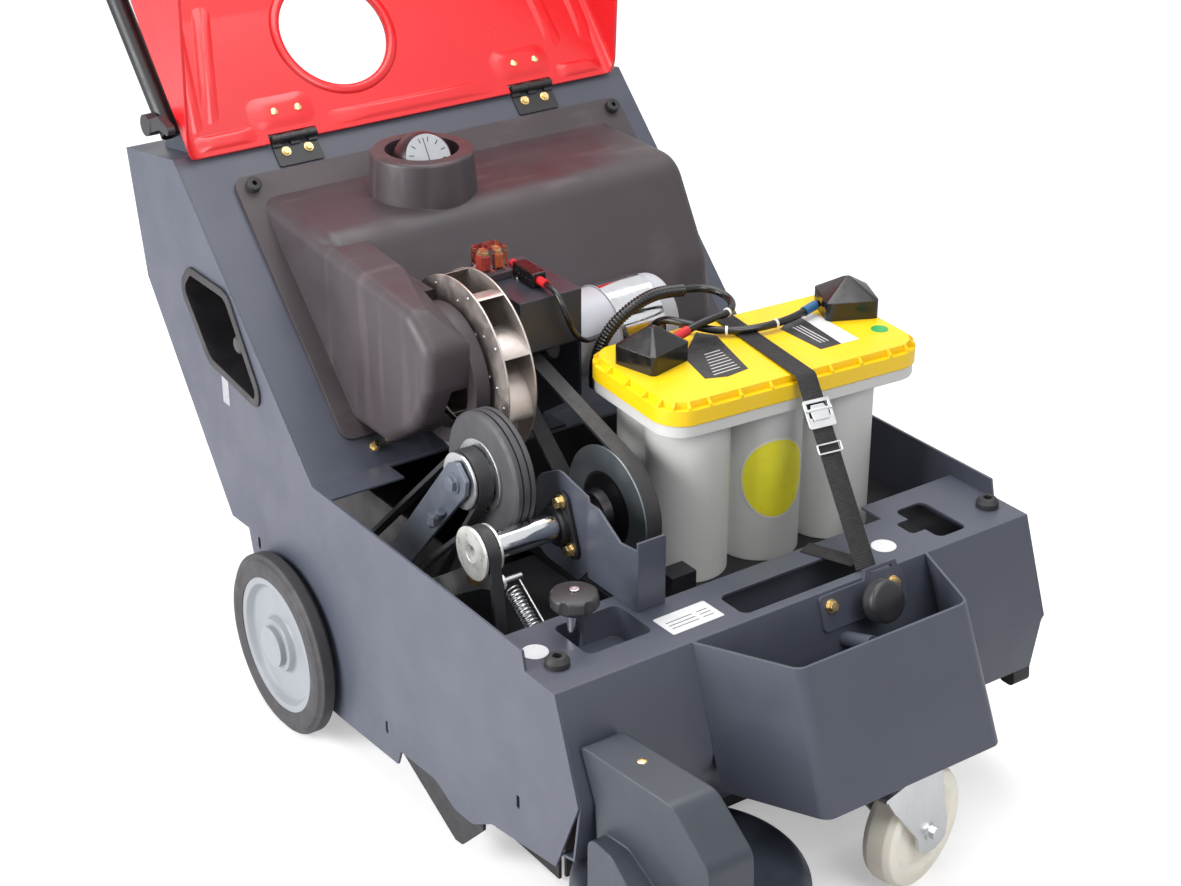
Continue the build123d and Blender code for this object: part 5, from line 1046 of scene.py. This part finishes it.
def side_brush():
    pairs = []
    for tufts, root, tip in SIDE_TUFTS:
        for tuft in range(tufts):
            middle = 2 * math.pi * tuft / tufts
            for _ in range(TUFT_STRANDS):
                turn = middle + random.uniform(-0.03, 0.03)
                fan = middle + random.uniform(-0.085, 0.085) * (0.6 + 0.4 * random.random())
                reach = tip - random.uniform(0.0, 9.0)
                start = Vector((root * math.cos(turn), root * math.sin(turn), 50.0 + random.uniform(-2, 2)))
                stop = Vector((reach * math.cos(fan), reach * math.sin(fan), 12.5 + random.uniform(0, 9.0)))
                pairs.append((TILT @ (start * MM), TILT @ (stop * MM)))
    bristles = strands("side_bristles", pairs, 0.55 * MM, 3.5 * MM, "side_brush")
    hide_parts("side_brush")
    axis = TILT.to_3x3() @ Vector((0, 0, 1))
    disc = ((0.1, 46), (45, 44), (71, 46), (75, 50), (75, 56), (72, 58.5), (20, 60), (9, 61), (9, 88),
            (0.1, 88))
    holder = lathe("side_brush_disc", disc, tuple(SIDE_AXIS / MM), axis, 72, "side_brush", "bristle",
                   LOOKS["black_plastic"])
    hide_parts("side_brush")


ROLLER_AXIS = (-310.0, 130.0)
ROLLER_ENDS = (-225.0, 294.0)
ROLLER_ROWS = 8
ROW_TUFTS = 72
ROW_SWEEP = 60.0
ROW_STRANDS = 5
ROLLER_ROOT = 42.0
ROLLER_TIP = 127.0


def round_roller(x, radius, turn):
    """A point at a radius from the roller's axis."""
    return point(x, ROLLER_AXIS[0] - radius * math.sin(turn), ROLLER_AXIS[1] + radius * math.cos(turn))


def main_brush():
    low, high = ROLLER_ENDS
    pairs = []
    for row in range(ROLLER_ROWS):
        for index in range(ROW_TUFTS):
            x = low + (high - low) * (index + 0.5) / ROW_TUFTS
            turn = 2 * math.pi * row / ROLLER_ROWS + math.radians(ROW_SWEEP * index / ROW_TUFTS)
            for _ in range(ROW_STRANDS):
                a = turn + random.uniform(-0.03, 0.03)
                b = turn + random.uniform(-0.05, 0.05)
                reach = ROLLER_TIP - random.uniform(0.0, 3.0)
                shift = random.uniform(-3.0, 3.0)
                start = round_roller(x + shift, ROLLER_ROOT, a)
                pairs.append((start, round_roller(x + shift * 1.6, reach, b)))
    bristles = strands("roller_bristles", pairs, 0.7 * MM, 0.0, "main_brush")
    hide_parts("main_brush")
    shaft = ((0.1, -272), (12, -272), (12, -268), (70, -268), (70, -252), (77, -252), (77, -250), (12, -250),
             (12, low), (45, low), (45, high), (12, high), (12, 316.7), (0.1, 316.7))
    core = lathe("roller_core", shaft, (0.0, *ROLLER_AXIS), (1, 0, 0), 72, "main_brush", "bristle",
                 LOOKS["black_plastic"])
    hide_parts("main_brush")


side_brush()
main_brush()

# Small fasteners and the grips' rings

STAR_KNOB = (-237.0, -465.0)
GRIP_AXIS = (608.52, 1032.2)
GRIP_RINGS = 12


def fasteners():
    heads = [dome(7.0, 2.0, (-268.0, -622.0, 267.0), (0, 0.1, 1), 24)]
    merged("arm_screw", heads, "side_brush_arm", "yellow_zinc")
    insert = ((0.1, 0.0), (5, 0), (5, 1.2), (3, 1.6), (0.1, 1.0))
    lathe("knob_insert", insert, (*STAR_KNOB, 373.6), (0, 0, 1), 20, "star_knob", "zinc")
    sleeve = ((6.5, 287), (8.15, 287), (8.15, 351), (6.5, 351))
    lathe("knob_sleeve", sleeve, (*STAR_KNOB, 0.0), (0, 0, 1), 32, "star_knob", "chrome")
    ring = ((15.9, -3.5), (16.9, -2.0), (16.9, 2.0), (15.9, 3.5))
    for side in (-1, 1):
        for index in range(GRIP_RINGS):
            spot = (side * (78 + 12 * index), *GRIP_AXIS)
            lathe(f"grip_ring_{side + 1}_{index}", ring, spot, (1, 0, 0), 40, "handle", "rubber")


fasteners()

# Filter dial

DIAL_AXIS = (-62.0, 100.0)
DIAL_SEAT = point(*DIAL_AXIS, 624.3)
DIAL_MIDDLE = point(*DIAL_AXIS, 629.3)
DIAL_RADIUS = 36.0
DIAL_CUT = 23.0
DIAL_FACE = Vector((-0.12, -0.84, 0.53)).normalized()


def filter_dial():
    """A black dome with one flat cut that carries a plain scale."""
    shape = bmesh.new()
    bmesh.ops.create_uvsphere(shape, u_segments=64, v_segments=32, radius=DIAL_RADIUS * MM)
    bmesh.ops.translate(shape, verts=shape.verts[:], vec=DIAL_MIDDLE)
    middle = DIAL_MIDDLE + DIAL_FACE * (DIAL_CUT * MM)
    for spot, way in ((middle, DIAL_FACE), (DIAL_SEAT, Vector((0, 0, -1)))):
        parts = shape.verts[:] + shape.edges[:] + shape.faces[:]
        cut = bmesh.ops.bisect_plane(shape, geom=parts, plane_co=spot, plane_no=way, clear_outer=True)
        edges = [e for e in cut["geom_cut"] if isinstance(e, bmesh.types.BMEdge)]
        bmesh.ops.contextual_create(shape, geom=edges)
    outward(shape)
    black = surface("dial_black", srgb(36, 34, 36), 0.36, spread=0.12, grain=(900, 0.00006), rounding=0.002)
    dial = add_shape("dial_dome", shape, "filter_dial", "grey_plastic", black)
    dial.data.materials.append(surface("dial_grey", srgb(164, 167, 172), 0.4, spread=0.06, mottle=40.0))
    for polygon in dial.data.polygons:
        polygon.material_index = int(polygon.normal.dot(DIAL_FACE) > 0.999 and polygon.area > 0.0005)
    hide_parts("filter_dial")
    place = facing(middle / MM, DIAL_FACE)
    marks = [bar(place, (0, 0), (46, 0.8), 90.0)]
    for degrees in range(15, 360, 30):
        turn = math.radians(degrees)
        marks.append(bar(place, (21 * math.cos(turn), 21 * math.sin(turn)), (6, 0.9), degrees))
    merged("dial_marks", marks, "filter_dial", "black_plastic", LOOKS["black_gloss"])


filter_dial()
